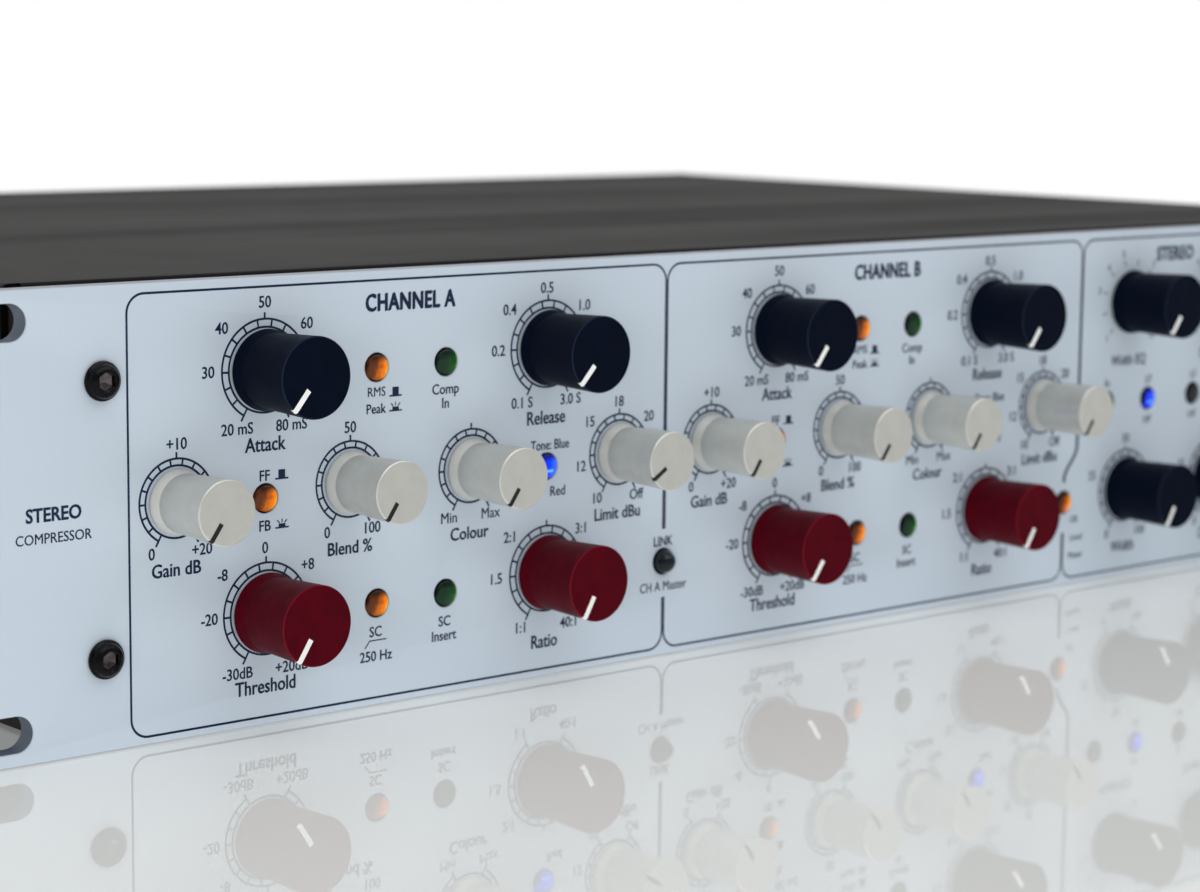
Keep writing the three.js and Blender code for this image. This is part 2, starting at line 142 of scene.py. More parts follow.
def inside(x, y, pts):
    hit, n = False, len(pts)
    for i in range(n):
        (x0, y0), (x1, y1) = pts[i - 1], pts[i]
        if (y0 > y) != (y1 > y) and x < (x1 - x0) * (y - y0) / (y1 - y0) + x0:
            hit = not hit
    return hit


def cap(mb, loops, axis, w, mat=0):
    """Triangles filling the first loop less the others; the loops are (first vertex number, points)."""
    co, edges, back = [], [], []
    for base, pts in loops:
        k = len(co)
        co.extend(Vector(p) for p in pts)
        back.extend(base + i for i in range(len(pts)))
        edges.extend((k + i, k + (i + 1) % len(pts)) for i in range(len(pts)))
    member = [k for k, (_, pts) in enumerate(loops) for _ in pts]
    verts, _, faces, orig = delaunay_2d_cdt(co, edges, [], 0, 1e-7)[:4]
    for f in faces:
        owners = {member[orig[i][0]] if orig[i] else -1 for i in f}
        if len(owners) == 1:                        # all on one outline: inside it or not decides
            k = owners.pop()
            if k >= 0:
                cx, cz = sum(verts[i].x for i in f) / 3, sum(verts[i].y for i in f) / 3
                if inside(cx, cz, loops[k][1]) != (k == 0):
                    continue
        idx = []
        for i in f:
            if orig[i]:
                idx.append(back[orig[i][0]])
            else:
                idx.append(mb.add([axis_point(axis, verts[i].x, verts[i].y, w)]))
                back.append(idx[-1])
        mb.face(idx, mat)


def plate(mb, outer, holes, w0, w1, b0=0.2, b1=0.2, seg=2, axis="y", mat=0, floor=None):
    """Plate between w0 and w1 with rounded edges, cut by holes."""
    fronts, backs = [], []
    for k, fn in enumerate([outer] + list(holes)):
        sgn = 1.0 if k == 0 else -1.0
        steps = []
        for i in range(seg + 1 if b0 else 1):
            t = math.pi / 2 * i / seg if b0 else math.pi / 2
            steps.append((w0 + b0 * (1 - math.cos(t)), -sgn * b0 * (1 - math.sin(t))))
        for i in range(seg + 1 if b1 else 1):
            t = math.pi / 2 * (1 - i / seg) if b1 else math.pi / 2
            steps.append((w1 - b1 * (1 - math.cos(t)), -sgn * b1 * (1 - math.sin(t))))
        bases = []
        for w, d in steps:
            pts = fn(d)
            bases.append((mb.add([axis_point(axis, p[0], p[1], w) for p in pts]), pts))
        for (a, pa), (b, _) in zip(bases, bases[1:]):
            mb.bridge(a, b, len(pa), mat)
        fronts.append(bases[0])
        backs.append(bases[-1])
    cap(mb, fronts, axis, w0, mat)
    cap(mb, backs, axis, w1, mat)


def box(mb, x0, x1, y0, y1, z0, z1, b=0.15, axis="z", mat=0, seg=2):
    """Box with rounded edges all round."""
    if axis == "z":
        plate(mb, rrect(x0, x1, y0, y1, b, 2), [], z0, z1, b, b, seg, "z", mat)
    elif axis == "y":
        plate(mb, rrect(x0, x1, z0, z1, b, 2), [], y0, y1, b, b, seg, "y", mat)
    else:
        plate(mb, rrect(y0, y1, z0, z1, b, 2), [], x0, x1, b, b, seg, "x", mat)


def lathe(mb, profile, cx, cz, n=64, mat=0, mats=None):
    """Turned about a line along Y through (cx, cz). profile: (radius, y)."""
    rings = []
    for r, y in profile:
        if r < 1e-6:
            rings.append((mb.add([(cx, y, cz)]), 1))
        else:
            rings.append((mb.add([(cx + r * math.sin(2 * math.pi * i / n), y, cz + r * math.cos(2 * math.pi * i / n)) for i in range(n)]), n))
    for k, ((a, na), (b, nb)) in enumerate(zip(rings, rings[1:])):
        m = mats[k] if mats else mat
        if na == 1 and nb == 1:
            continue
        if na == 1:
            mb.fan(b, n, a, m)
        elif nb == 1:
            mb.fan(a, n, b, m)
        else:
            mb.bridge(a, b, n, m)


def ring_lathe(mb, profile, cx, cz, n=64, mat=0):
    """Closed ring section turned about Y."""
    bases = [mb.add([(cx + r * math.sin(2 * math.pi * i / n), y, cz + r * math.cos(2 * math.pi * i / n)) for i in range(n)]) for r, y in profile]
    for a, b in zip(bases, bases[1:] + bases[:1]):
        mb.bridge(a, b, n, mat)


def lathe_z(mb, profile, cx, cy, n=64, mat=0):
    rings = []
    for r, z in profile:
        if r < 1e-6:
            rings.append((mb.add([(cx, cy, z)]), 1))
        else:
            rings.append((mb.add([(cx + r * math.cos(2 * math.pi * i / n), cy + r * math.sin(2 * math.pi * i / n), z) for i in range(n)]), n))
    for (a, na), (b, nb) in zip(rings, rings[1:]):
        if na == 1 and nb == 1:
            continue
        if na == 1:
            mb.fan(b, n, a, mat)
        elif nb == 1:
            mb.fan(a, n, b, mat)
        else:
            mb.bridge(a, b, n, mat)


def stroke(mb, pts, width, closed=False, y0=-0.024, y1=0.03, mat=0):
    """Printed line of a given width along points (x, z), as a thin closed prism."""
    n = len(pts)
    rails = []
    for i in range(n):
        q = Vector(pts[i])
        p = Vector(pts[i - 1]) if (closed or i > 0) else None
        r = Vector(pts[(i + 1) % n]) if (closed or i < n - 1) else None
        a = (q - p).normalized() if p is not None else (r - q).normalized()
        b = (r - q).normalized() if r is not None else a
        na, nb = Vector((-a.y, a.x)), Vector((-b.y, b.x))
        m = na + nb
        k = 1.0 / max(0.35, 1 + na.dot(nb))
        o = m * k * width / 2
        rails.append(mb.add([(q.x + o.x, y0, q.y + o.y), (q.x - o.x, y0, q.y - o.y), (q.x - o.x, y1, q.y - o.y), (q.x + o.x, y1, q.y + o.y)]))
    for i in range(n if closed else n - 1):
        a, b = rails[i], rails[(i + 1) % n]
        for k in range(4):
            mb.face((a + k, a + (k + 1) % 4, b + (k + 1) % 4, b + k), mat)
    if not closed:
        mb.face((rails[0], rails[0] + 1, rails[0] + 2, rails[0] + 3), mat)
        mb.face((rails[-1] + 3, rails[-1] + 2, rails[-1] + 1, rails[-1]), mat)


def fill(mb, pts, y0=-0.024, y1=0.03, mat=0):
    """Printed filled area."""
    plate(mb, poly(pts), [], y0, y1, 0, 0, 1, "y", mat)


def arc(cx, cz, r, a0, a1, step=3.0):
    """Points on an arc; angles in degrees from straight up, clockwise positive."""
    n = max(2, int(abs(a1 - a0) / step) + 1)
    return [(cx + r * math.sin(math.radians(a0 + (a1 - a0) * i / (n - 1))), cz + r * math.cos(math.radians(a0 + (a1 - a0) * i / (n - 1)))) for i in range(n)]


def finish_mesh(name, mb, mats, smooth=32.0, recalc=True, origin=None, weld=True):
    me = bpy.data.meshes.new(name)
    me.from_pydata([W(*p) for p in mb.v], [], mb.f)
    me.polygons.foreach_set("material_index", mb.m)
    for m in mats:
        me.materials.append(m)
    bm = bmesh.new()
    bm.from_mesh(me)
    if weld:
        bmesh.ops.remove_doubles(bm, verts=bm.verts, dist=2e-7)
    if recalc:
        bmesh.ops.recalc_face_normals(bm, faces=bm.faces)
    bm.to_mesh(me)
    bm.free()
    if smooth:
        me.shade_smooth()
        me.set_sharp_from_angle(angle=math.radians(smooth))
    if origin is not None:
        at = me.attributes.new("lc", "FLOAT_VECTOR", "POINT")
        ox, oy, oz = W(*origin)
        at.data.foreach_set("vector", [c for v in me.vertices for c in ((v.co.x - ox) / MM, (v.co.y - oy) / MM, (v.co.z - oz) / MM)])
    me.update()
    ob = bpy.data.objects.new(name, me)
    bpy.context.scene.collection.objects.link(ob)
    return ob


def piece(name, mb, mats, body, slot, replaces=(), **kw):
    ob = finish_mesh(name, mb, mats if isinstance(mats, (list, tuple)) else [mats], **kw)
    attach(ob, body)
    if replaces:
        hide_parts(*replaces)
    return ob


# ------------------------------------------------------------------ materials
def lin(r, g, b):
    return tuple((c / 255 / 12.92) if c / 255 <= 0.04045 else ((c / 255 + 0.055) / 1.055) ** 2.4 for c in (r, g, b)) + (1.0,)


KNOB_TIP = local_box("knob_attack_a")[0][1] + 0.03


class Shade:
    """Small helper that builds a node tree round one Principled shader."""

    def __init__(self, name):
        self.mat = bpy.data.materials.new(name)
        self.mat.use_nodes = True
        self.t = self.mat.node_tree
        self.t.nodes.clear()
        self.out = self.node("ShaderNodeOutputMaterial")
        self.b = self.node("ShaderNodeBsdfPrincipled")
        self.t.links.new(self.b.outputs["BSDF"], self.out.inputs["Surface"])

    def node(self, kind, inputs=None, **props):
        n = self.t.nodes.new(kind)
        for k, v in props.items():
            setattr(n, k, v)
        for k, v in (inputs or {}).items():
            self.put(n.inputs[k], v)
        return n

    def put(self, socket, v):
        if isinstance(v, bpy.types.NodeSocket):
            self.t.links.new(v, socket)
        else:
            socket.default_value = v

    def set(self, **kw):
        for k, v in kw.items():
            self.put(self.b.inputs[k.replace("_", " ")], v)
        return self

    def coords(self):
        return self.node("ShaderNodeTexCoord").outputs["Object"]

    def local(self):
        return self.node("ShaderNodeAttribute", attribute_name="lc", attribute_type="GEOMETRY").outputs["Vector"]

    def noise(self, vec, scale, detail=3.0, rough=0.55, dist=0.0, dims="3D"):
        n = self.node("ShaderNodeTexNoise", noise_dimensions=dims)
        if dims == "1D":
            self.put(n.inputs["W"], vec)
        else:
            self.put(n.inputs["Vector"], vec)
        n.inputs["Scale"].default_value = scale
        n.inputs["Detail"].default_value = detail
        n.inputs["Roughness"].default_value = rough
        n.inputs["Distortion"].default_value = dist
        return n.outputs["Fac"]

    def math(self, op, a, b=0.0, c=0.0, clamp=False):
        n = self.node("ShaderNodeMath", operation=op, use_clamp=clamp)
        self.put(n.inputs[0], a)
        self.put(n.inputs[1], b)
        if len(n.inputs) > 2:
            self.put(n.inputs[2], c)
        return n.outputs[0]

    def vmath(self, op, a, b=None, scale=None):
        n = self.node("ShaderNodeVectorMath", operation=op)
        self.put(n.inputs[0], a)
        if b is not None:
            self.put(n.inputs[1], b)
        if scale is not None:
            self.put(n.inputs["Scale"], scale)
        return n.outputs["Value"] if op in ("DOT_PRODUCT", "LENGTH", "DISTANCE") else n.outputs["Vector"]

    def range(self, v, a, b, c=0.0, d=1.0, smooth=True):
        n = self.node("ShaderNodeMapRange", interpolation_type="SMOOTHSTEP" if smooth else "LINEAR")
        self.put(n.inputs["Value"], v)
        for k, x in zip(("From Min", "From Max", "To Min", "To Max"), (a, b, c, d)):
            self.put(n.inputs[k], x)
        return n.outputs["Result"]

    def mix(self, fac, a, b, blend="MIX"):
        n = self.node("ShaderNodeMix", data_type="RGBA", blend_type=blend, clamp_factor=True)
        self.put(n.inputs[0], fac)
        self.put(n.inputs[6], a)
        self.put(n.inputs[7], b)
        return n.outputs[2]

    def split(self, vec):
        n = self.node("ShaderNodeSeparateXYZ", {"Vector": vec})
        return n.outputs[0], n.outputs[1], n.outputs[2]

    def join(self, x, y, z):
        return self.node("ShaderNodeCombineXYZ", {"X": x, "Y": y, "Z": z}).outputs[0]

    def bump(self, height, strength=0.2, distance=0.0002, normal=None):
        n = self.node("ShaderNodeBump", {"Height": height, "Strength": strength, "Distance": distance})
        if normal is not None:
            self.put(n.inputs["Normal"], normal)
        return n.outputs["Normal"]


def satin(name, colour, dark=None, rough=0.5, rough_var=0.08, metal=0.0, grain=900.0, grain_strength=0.15, grain_depth=0.00008,
          patch=18.0, patch_amount=0.35, spec=0.5, dust=0.0, coat=0.0, coat_rough=0.1, speck=0.0, tint=None):
    """Painted, moulded or plated surface: broad tone patches, fine grain in the bump, roughness that varies, optional dust."""
    s = Shade(name)
    p = s.coords()
    broad = s.noise(p, patch, 4.0, 0.6)
    fine = s.noise(p, grain, 3.0, 0.6)
    c0 = lin(*colour)
    c1 = lin(*(dark or tuple(int(c * 0.86) for c in colour)))
    col = s.mix(s.math("MULTIPLY", s.range(broad, 0.35, 0.7), patch_amount), c0, c1)
    col = s.mix(s.math("MULTIPLY", s.range(fine, 0.4, 0.75), 0.25), col, c1)
    if dust:
        d = s.math("MULTIPLY", s.range(s.noise(p, grain * 2.3, 2.0, 0.7), 0.66, 0.74), s.range(s.noise(p, patch * 2.0, 3.0), 0.4, 0.7))
        col = s.mix(s.math("MULTIPLY", d, dust), col, lin(190, 190, 186))
    if speck:
        q = s.range(s.noise(p, grain * 1.4, 2.0, 0.5), 0.62, 0.7)
        col = s.mix(s.math("MULTIPLY", q, speck), col, lin(235, 240, 246))
    if tint:
        col = tint(s, p, col)
    r = s.math("ADD", s.math("MULTIPLY", s.noise(p, patch * 3.1, 4.0, 0.6), rough_var * 2), rough - rough_var, clamp=True)
    r = s.math("ADD", r, s.math("MULTIPLY", s.math("SUBTRACT", fine, 0.5), rough_var), clamp=True)
    s.set(Base_Color=col, Roughness=r, Metallic=metal, Normal=s.bump(fine, grain_strength, grain_depth))
    s.b.inputs["Specular IOR Level"].default_value = spec
    if coat:
        s.b.inputs["Coat Weight"].default_value = coat
        s.b.inputs["Coat Roughness"].default_value = coat_rough
    return s.mat


def turned_metal(name, colour, dark, rough, metal, rim, spec=0.5, lines=0.10, line_scale=9.0, skirt=None):
    """Turned and anodised: tool lines round the axis on the face and along the body, faint rub marks on the face."""
    s = Shade(name)
    p = s.local()
    x, y, z = s.split(p)
    r = s.vmath("LENGTH", s.join(x, 0.0, z))
    ring = s.noise(s.math("ADD", s.math("MULTIPLY", r, 1.0), s.math("MULTIPLY", y, 1.37)), line_scale, 3.0, 0.6, dims="1D")
    blotch = s.noise(p, 0.32, 4.0, 0.6)
    fine = s.noise(p, 11.0, 2.0, 0.6)
    rub = s.range(s.noise(s.join(s.math("MULTIPLY", x, 0.7), s.math("MULTIPLY", y, 5.0), s.math("MULTIPLY", z, 6.0)), 1.1, 3.0, 0.65), 0.62, 0.8)
    col = s.mix(s.math("MULTIPLY", s.range(blotch, 0.3, 0.75), 0.45), lin(*colour), lin(*dark))
    col = s.mix(s.math("MULTIPLY", s.range(ring, 0.45, 0.8), 0.16), col, lin(*dark))
    # painted light: the grey knobs' skirt is lighter, as where the light from the front left falls on it
    if skirt:
        col = s.mix(s.range(y, -3.05, -2.9), col, lin(*skirt))
    # the chamfer band gets a lighter rim colour all round: partly the polished edge, partly a painted highlight
    cut = s.math("MULTIPLY", s.range(y, KNOB_TIP + 0.02, KNOB_TIP + 0.10), s.range(y, KNOB_TIP + 0.32, KNOB_TIP + 0.26))
    col = s.mix(cut, col, lin(*rim))
    ro = s.math("ADD", rough, s.math("MULTIPLY", s.math("SUBTRACT", blotch, 0.5), 0.14))
    ro = s.math("SUBTRACT", ro, s.math("MULTIPLY", rub, 0.05), clamp=True)
    h = s.math("ADD", s.math("MULTIPLY", ring, 1.0), s.math("MULTIPLY", fine, 0.35))
    s.set(Base_Color=col, Roughness=ro, Metallic=metal, Normal=s.bump(h, lines, 0.00006))
    s.b.inputs["Specular IOR Level"].default_value = spec
    return s.mat


def lit_cap(name, deep, glow, hot, base, strength=1.0, lift=0.0, streak=0.0, coat=0.12, spot=None):
    """Translucent push-button cap lit from inside. The far side of the dome glows most, as a lens does; painted shade
    cuts the glow back at the top and bottom, in a crescent on the near side and deeper in the hole.
    """
    s = Shade(name)
    p = s.local()                                   # cap centre at 0, y = 0 at the cap's front, mm
    x, y, z = s.split(p)
    geo = s.node("ShaderNodeNewGeometry")
    ix, iy, iz = s.split(geo.outputs["Incoming"])
    plain = s.math("MULTIPLY", s.math("ADD", s.math("MULTIPLY", x, ix), s.math("MULTIPLY", z, iz)), -1.0 / 1.95)
    wob = s.math("MULTIPLY", s.math("SUBTRACT", s.noise(p, 0.62, 3.0, 0.6, 0.6), 0.5), 0.7)
    along = s.math("ADD", s.math("ADD", plain, wob), lift)
    far = s.range(along, -0.32, 0.55)
    core = s.range(along, 0.42, 0.95)
    top = s.range(z, 2.3, 0.9)                            # painted shade: the glow darker towards the top and bottom of the dome
    low = s.range(z, -2.75, -1.7)
    near = s.range(plain, -0.86, -0.62)                     # and painted shade in a thin crescent on the near side
    # painted shade: the glow fades deeper in the hole
    depth = s.range(y, 2.3, 1.5)
    em = s.mix(core, s.mix(far, lin(*deep), lin(*glow)), lin(*hot))
    # painted reflection: a darker orange spot on the face of the cap
    if spot:
        d = s.vmath("LENGTH", s.join(s.math("SUBTRACT", x, 0.55), 0.0, s.math("MULTIPLY", s.math("SUBTRACT", z, 0.25), 1.5)))
        em = s.mix(s.math("MULTIPLY", s.range(d, 0.85, 0.25), 0.75), em, lin(*spot))
    # painted highlight: a pale blue streak low on the cap
    if streak:
        bar = s.math("MULTIPLY", s.range(s.math("ABSOLUTE", s.math("ADD", z, 0.95)), 0.34, 0.16), s.range(s.math("ABSOLUTE", s.math("SUBTRACT", x, 0.2)), 1.25, 0.9))
        em = s.mix(s.math("MULTIPLY", bar, streak), em, lin(120, 190, 255))
    amount = s.math("MULTIPLY", s.math("MULTIPLY", s.math("ADD", s.math("MULTIPLY", top, 0.85), 0.15), s.math("ADD", s.math("MULTIPLY", low, 0.6), 0.4)), s.math("MULTIPLY", near, s.math("ADD", s.math("MULTIPLY", depth, 0.95), 0.05)))
    s.set(Base_Color=s.mix(s.noise(p, 1.2, 2.0), lin(*base), lin(*tuple(int(c * 0.7) for c in base))), Roughness=0.2, Normal=s.bump(s.noise(p, 2.2, 2.0, 0.5), 0.06, 0.0001))
    s.b.inputs["Specular IOR Level"].default_value = 0.2
    s.b.inputs["Coat Weight"].default_value = coat
    s.b.inputs["Coat Roughness"].default_value = 0.12
    s.put(s.b.inputs["Emission Color"], em)
    s.put(s.b.inputs["Emission Strength"], s.math("MULTIPLY", amount, strength))
    return s.mat


def panel_edges(s, p, col):
    """The plate's edges are toned darker than its face, partly as barer metal and partly as painted shade, and darker
    still inside the four slots as painted shade.
    """
    x, y, z = s.split(p)
    edge = s.range(y, FY + 0.22 * MM, FY + 0.42 * MM)
    # painted shade on the walls of the four rack slots
    slot = s.math("MULTIPLY", s.range(s.math("ABSOLUTE", s.math("SUBTRACT", x, FX)), 0.2262, 0.2264), s.range(s.math("ABSOLUTE", s.math("SUBTRACT", z, FZ)), 0.0425, 0.0422))
    slot = s.math("MULTIPLY", slot, s.range(s.math("ABSOLUTE", s.math("SUBTRACT", x, FX)), 0.2405, 0.2400))
    # inside the plate: the walls of the button, screw and shaft holes lie in shadow
    hole = s.math("MULTIPLY", s.range(s.math("ABSOLUTE", s.math("SUBTRACT", x, FX)), 0.2242, 0.2240), s.range(s.math("ABSOLUTE", s.math("SUBTRACT", z, FZ)), 0.0412, 0.0410))
    # painted shade: edges (176, 180, 188), slot walls (98, 108, 122), hole walls (58, 63, 72)
    edge_tone_and_shade = s.mix(hole, s.mix(slot, lin(176, 180, 188), lin(98, 108, 122)), lin(58, 63, 72))
    return s.mix(edge, col, edge_tone_and_shade)


def cover_tone(s, p, col):
    """Long soft dark streaks across the top, painted reflections of the studio with less specular there, and painted
    shade on the fold behind the panel.
    """
    x, y, z = s.split(p)
    q = s.join(s.math("MULTIPLY", x, 1.7), s.math("MULTIPLY", y, 20.0), 0.0)
    # painted reflection: long dark bands across the top of the cover
    streak = s.math("MULTIPLY", s.range(s.noise(q, 1.0, 2.0, 0.45, 0.25), 0.40, 0.62), s.range(z, FZ + 41.6 * MM, FZ + 42.9 * MM))
    col = s.mix(s.math("MULTIPLY", streak, 0.30), col, lin(24, 24, 23))
    s.put(s.b.inputs["Specular IOR Level"], s.math("SUBTRACT", 0.15, s.math("MULTIPLY", streak, 0.09)))
    # painted shade: the front of the top and its lip go near black, as the gap behind the panel
    fold = s.range(y, FY + 24.2 * MM, FY + 22.6 * MM)
    return s.mix(fold, col, lin(3, 3, 5))


M = {}
M["panel"] = satin("panel_satin", (203, 215, 227), (197, 210, 223), rough=0.5, rough_var=0.05, grain=1500, grain_strength=0.10, grain_depth=0.00005, patch=7, patch_amount=0.5, spec=0.22, tint=panel_edges)
M["ink"] = satin("panel_ink", (13, 34, 72), (9, 25, 56), rough=0.5, grain=2500, grain_strength=0.1, grain_depth=0.00003, patch=60, patch_amount=0.5, spec=0.3)
M["cover"] = satin("cover_powder", (52, 48, 45), (40, 38, 36), rough=0.62, rough_var=0.06, grain=1100, grain_strength=0.5, grain_depth=0.00010, patch=9, patch_amount=0.3, spec=0.10, dust=0.06, tint=cover_tone)
M["chassis"] = satin("chassis_powder", (46, 43, 41), (34, 32, 31), rough=0.6, rough_var=0.07, grain=1100, grain_strength=0.5, grain_depth=0.00010, patch=10, patch_amount=0.5, spec=0.15, dust=0.06)
# rim colours: the lighter chamfer band, partly polished edge and partly painted highlight
M["knob_dark"] = turned_metal("knob_dark_anodised", (7, 15, 33), (4, 9, 23), 0.46, 0.0, (30, 39, 60), spec=0.035)
# skirt colour (226, 224, 216): painted light on the grey knobs' skirt
M["knob_grey"] = turned_metal("knob_grey_anodised", (207, 207, 201), (194, 194, 188), 0.34, 0.38, (228, 226, 220), spec=0.3, skirt=(226, 224, 216))
M["knob_burgundy"] = turned_metal("knob_burgundy_anodised", (85, 3, 20), (58, 2, 13), 0.44, 0.0, (112, 22, 38), spec=0.04)
M["mark_white"] = satin("pointer_white_fill", (250, 250, 247), (240, 240, 236), rough=0.45, grain=6000, grain_strength=0.2, grain_depth=0.00003, patch=300, patch_amount=0.4)
M["mark_black"] = satin("pointer_black_fill", (16, 16, 18), (8, 8, 10), rough=0.5, grain=6000, grain_strength=0.2, grain_depth=0.00003, patch=300, patch_amount=0.4)
M["button_orange"] = lit_cap("cap_orange", (88, 46, 22), (236, 122, 6), (255, 178, 26), (20, 10, 9), 1.05, lift=0.02, spot=(186, 66, 4))
M["button_green"] = lit_cap("cap_green", (22, 46, 30), (22, 78, 22), (36, 150, 8), (6, 16, 14), 1.0, lift=-0.12)
M["button_blue"] = lit_cap("cap_blue", (30, 40, 190), (0, 54, 255), (40, 100, 255), (6, 10, 40), 1.15, lift=0.45, streak=0.9)
# painted light: the unlit caps still glow faintly in dark grey
M["button_unlit"] = lit_cap("cap_unlit", (10, 14, 17), (22, 28, 32), (30, 38, 42), (24, 30, 35), 0.5, coat=0.4)
M["screw"] = satin("black_oxide", (24, 23, 25), (12, 12, 15), rough=0.28, rough_var=0.10, metal=0.75, grain=2600, grain_strength=0.25, grain_depth=0.00005, patch=260, patch_amount=0.6, spec=0.5)
M["socket"] = satin("socket_bottom", (120, 112, 114), (52, 47, 49), rough=0.16, rough_var=0.1, metal=0.9, grain=2600, grain_strength=0.3, grain_depth=0.00005, patch=420, patch_amount=0.7)
M["steel"] = satin("nickel_plate", (176, 177, 180), (140, 141, 146), rough=0.26, rough_var=0.08, metal=1.0, grain=2200, grain_strength=0.12, grain_depth=0.00004, patch=160, patch_amount=0.5)
M["black_metal"] = satin("black_plated", (26, 27, 30), (15, 16, 18), rough=0.4, rough_var=0.08, metal=0.5, grain=2000, grain_strength=0.3, grain_depth=0.00006, patch=150, patch_amount=0.5)
M["black_plastic"] = satin("black_nylon", (24, 25, 27), (15, 16, 17), rough=0.5, rough_var=0.08, metal=0.0, grain=1800, grain_strength=0.35, grain_depth=0.00008, patch=120, patch_amount=0.5)
# painted shade: a near-black finish standing for the shade inside deep recesses
M["slot_dark"] = satin("deep_recess", (6, 6, 7), (3, 3, 4), rough=0.8, grain=1000, grain_strength=0.2, patch=100)
M["gold"] = satin("contact_gold", (196, 152, 70), (160, 118, 48), rough=0.28, metal=1.0, grain=2500, grain_strength=0.1, grain_depth=0.00004, patch=200)


def led(name, colour, strength):
    s = Shade(name)
    p = s.coords()
    n = s.noise(p, 700.0, 2.0, 0.5)
    c = s.mix(s.range(n, 0.3, 0.7), lin(*colour), lin(*tuple(min(255, int(k * 1.1) + 10) for k in colour)))
    s.set(Base_Color=c, Roughness=0.25)
    s.b.inputs["Coat Weight"].default_value = 0.5
    s.put(s.b.inputs["Emission Color"], c)
    s.b.inputs["Emission Strength"].default_value = strength
    return s.mat


M["led_green"] = led("segment_green", (60, 220, 80), 1.2)
M["led_amber"] = led("segment_amber", (255, 170, 30), 1.2)
M["led_off"] = led("segment_off", (44, 40, 36), 0.0)
M["led_red_off"] = led("segment_red_off", (58, 18, 16), 0.0)

# ------------------------------------------------------------------ where things are, from the frame
KNOBS = {n: centre(n) for n in NODES if n.startswith("knob_")}
BUTTONS = {n: centre(n) for n in NODES if n.startswith("button_")}
SCREWS = {n: centre(n) for n in NODES if n.startswith("front_screw_")}
XLRS = {n: centre(n) for n in NODES if n.startswith("xlr_") and "tab" not in n}
PITCH = KNOBS["knob_attack_b"][0] - KNOBS["knob_attack_a"][0]
METER_X, METER_W, METER_Z0, METER_Z1 = (149.0, 160.0, 174.0, 185.0), 4.0, -9.0, 29.0
BACK = local_box("rear_panel")[1][1]
BODY_LO, BODY_HI = local_box("rear_panel")


def big(name):
    lo, hi = local_box(name)
    return (hi[0] - lo[0]) > 14.5


# ------------------------------------------------------------------ front panel
def build_panel():
    mb = Build()
    outer = rrect(-PANEL_W / 2, PANEL_W / 2, -PANEL_H / 2, PANEL_H / 2, 1.0, 4)
    holes = []
    for sx in (-1, 1):
        for sz in (-1, 1):
            holes.append(obround(sx * 232.55, sz * 38.1, 10.6, 7.0, 14))
    for x in METER_X:
        holes.append(rrect(x - METER_W / 2, x + METER_W / 2, METER_Z0, METER_Z1, 0.5, 4))
    for x, z in KNOBS.values():
        holes.append(circle(x, z, 3.5, 24))
    for x, z in BUTTONS.values():
        holes.append(circle(x, z, 2.95, 56))
    for x, z in SCREWS.values():
        holes.append(circle(x, z, 2.3, 20))
    plate(mb, outer, holes, 0.0, PANEL_T, 0.28, 0.28, 3)
    return piece("panel_plate", mb, M["panel"], "root", "panel_finish", ["front_panel"], smooth=40)


build_panel()

# ------------------------------------------------------------------ screen print: lines, dials and generic lettering
INK = Build()
LINE = 0.46


def divider_frames():
    """Three frames side by side. Neighbours share one heavier line, which opens round the LINK and meter buttons."""
    t, b, r = 42.14, -42.6, 3.7
    xa, xab, xc = -206.3, -70.6, 206.3
    q = 8

    def corner(cx, cz, a0, a1):
        return [(cx + r * math.cos(math.radians(a0 + (a1 - a0) * i / q)), cz + r * math.sin(math.radians(a0 + (a1 - a0) * i / q))) for i in range(q + 1)]
    e = 0.26
    # A: from the opening over LINK, up, round the left side and back to the opening under LINK
    a = [(xab - e, -16.0)] + corner(xab - e - r, t - r, 0, 90) + corner(xa + r, t - r, 90, 180) + corner(xa + r, b + r, 180, 270) + corner(xab - e - r, b + r, 270, 360) + [(xab - e, -31.2)]
    stroke(INK, a, LINE)
    # B: left side opens at LINK, right side bends to the meter button
    bl1 = [(xab + e, -16.0)] + corner(xab + e + r, t - r, 180, 90)
    br = corner(68.9 - e - r, t - r, 90, 0) + bend(68.9 - e, 64.3 - e)
    stroke(INK, bl1 + br, LINE, y0=-0.026)
    bl2 = [(xab + e, -31.2)] + corner(xab + e + r, b + r, 180, 270) + corner(64.3 - e - r, b + r, 270, 360) + [(64.3 - e, -31.0)]
    stroke(INK, bl2, LINE, y0=-0.026)
    # C
    cl = list(reversed(bend(68.9 + e, 64.3 + e))) + corner(68.9 + e + r, t - r, 180, 90) + corner(xc - r, t - r, 90, 0) + corner(xc - r, b + r, 0, -90) + corner(64.3 + e + r, b + r, 270, 180) + [(64.3 + e, -31.0)]
    stroke(INK, cl, LINE, y0=-0.028)


def bend(x0, x1, z0=-9.4, z1=-17.4, end=-18.2):
    """S-bend of the second divider, from x0 above to x1 below."""
    pts, n = [], 14
    for i in range(n + 1):
        t = i / n
        s = t * t * (3 - 2 * t)
        pts.append((x0 + (x1 - x0) * s, z0 + (z1 - z0) * t))
    return pts + [(x1, end)]


divider_frames()


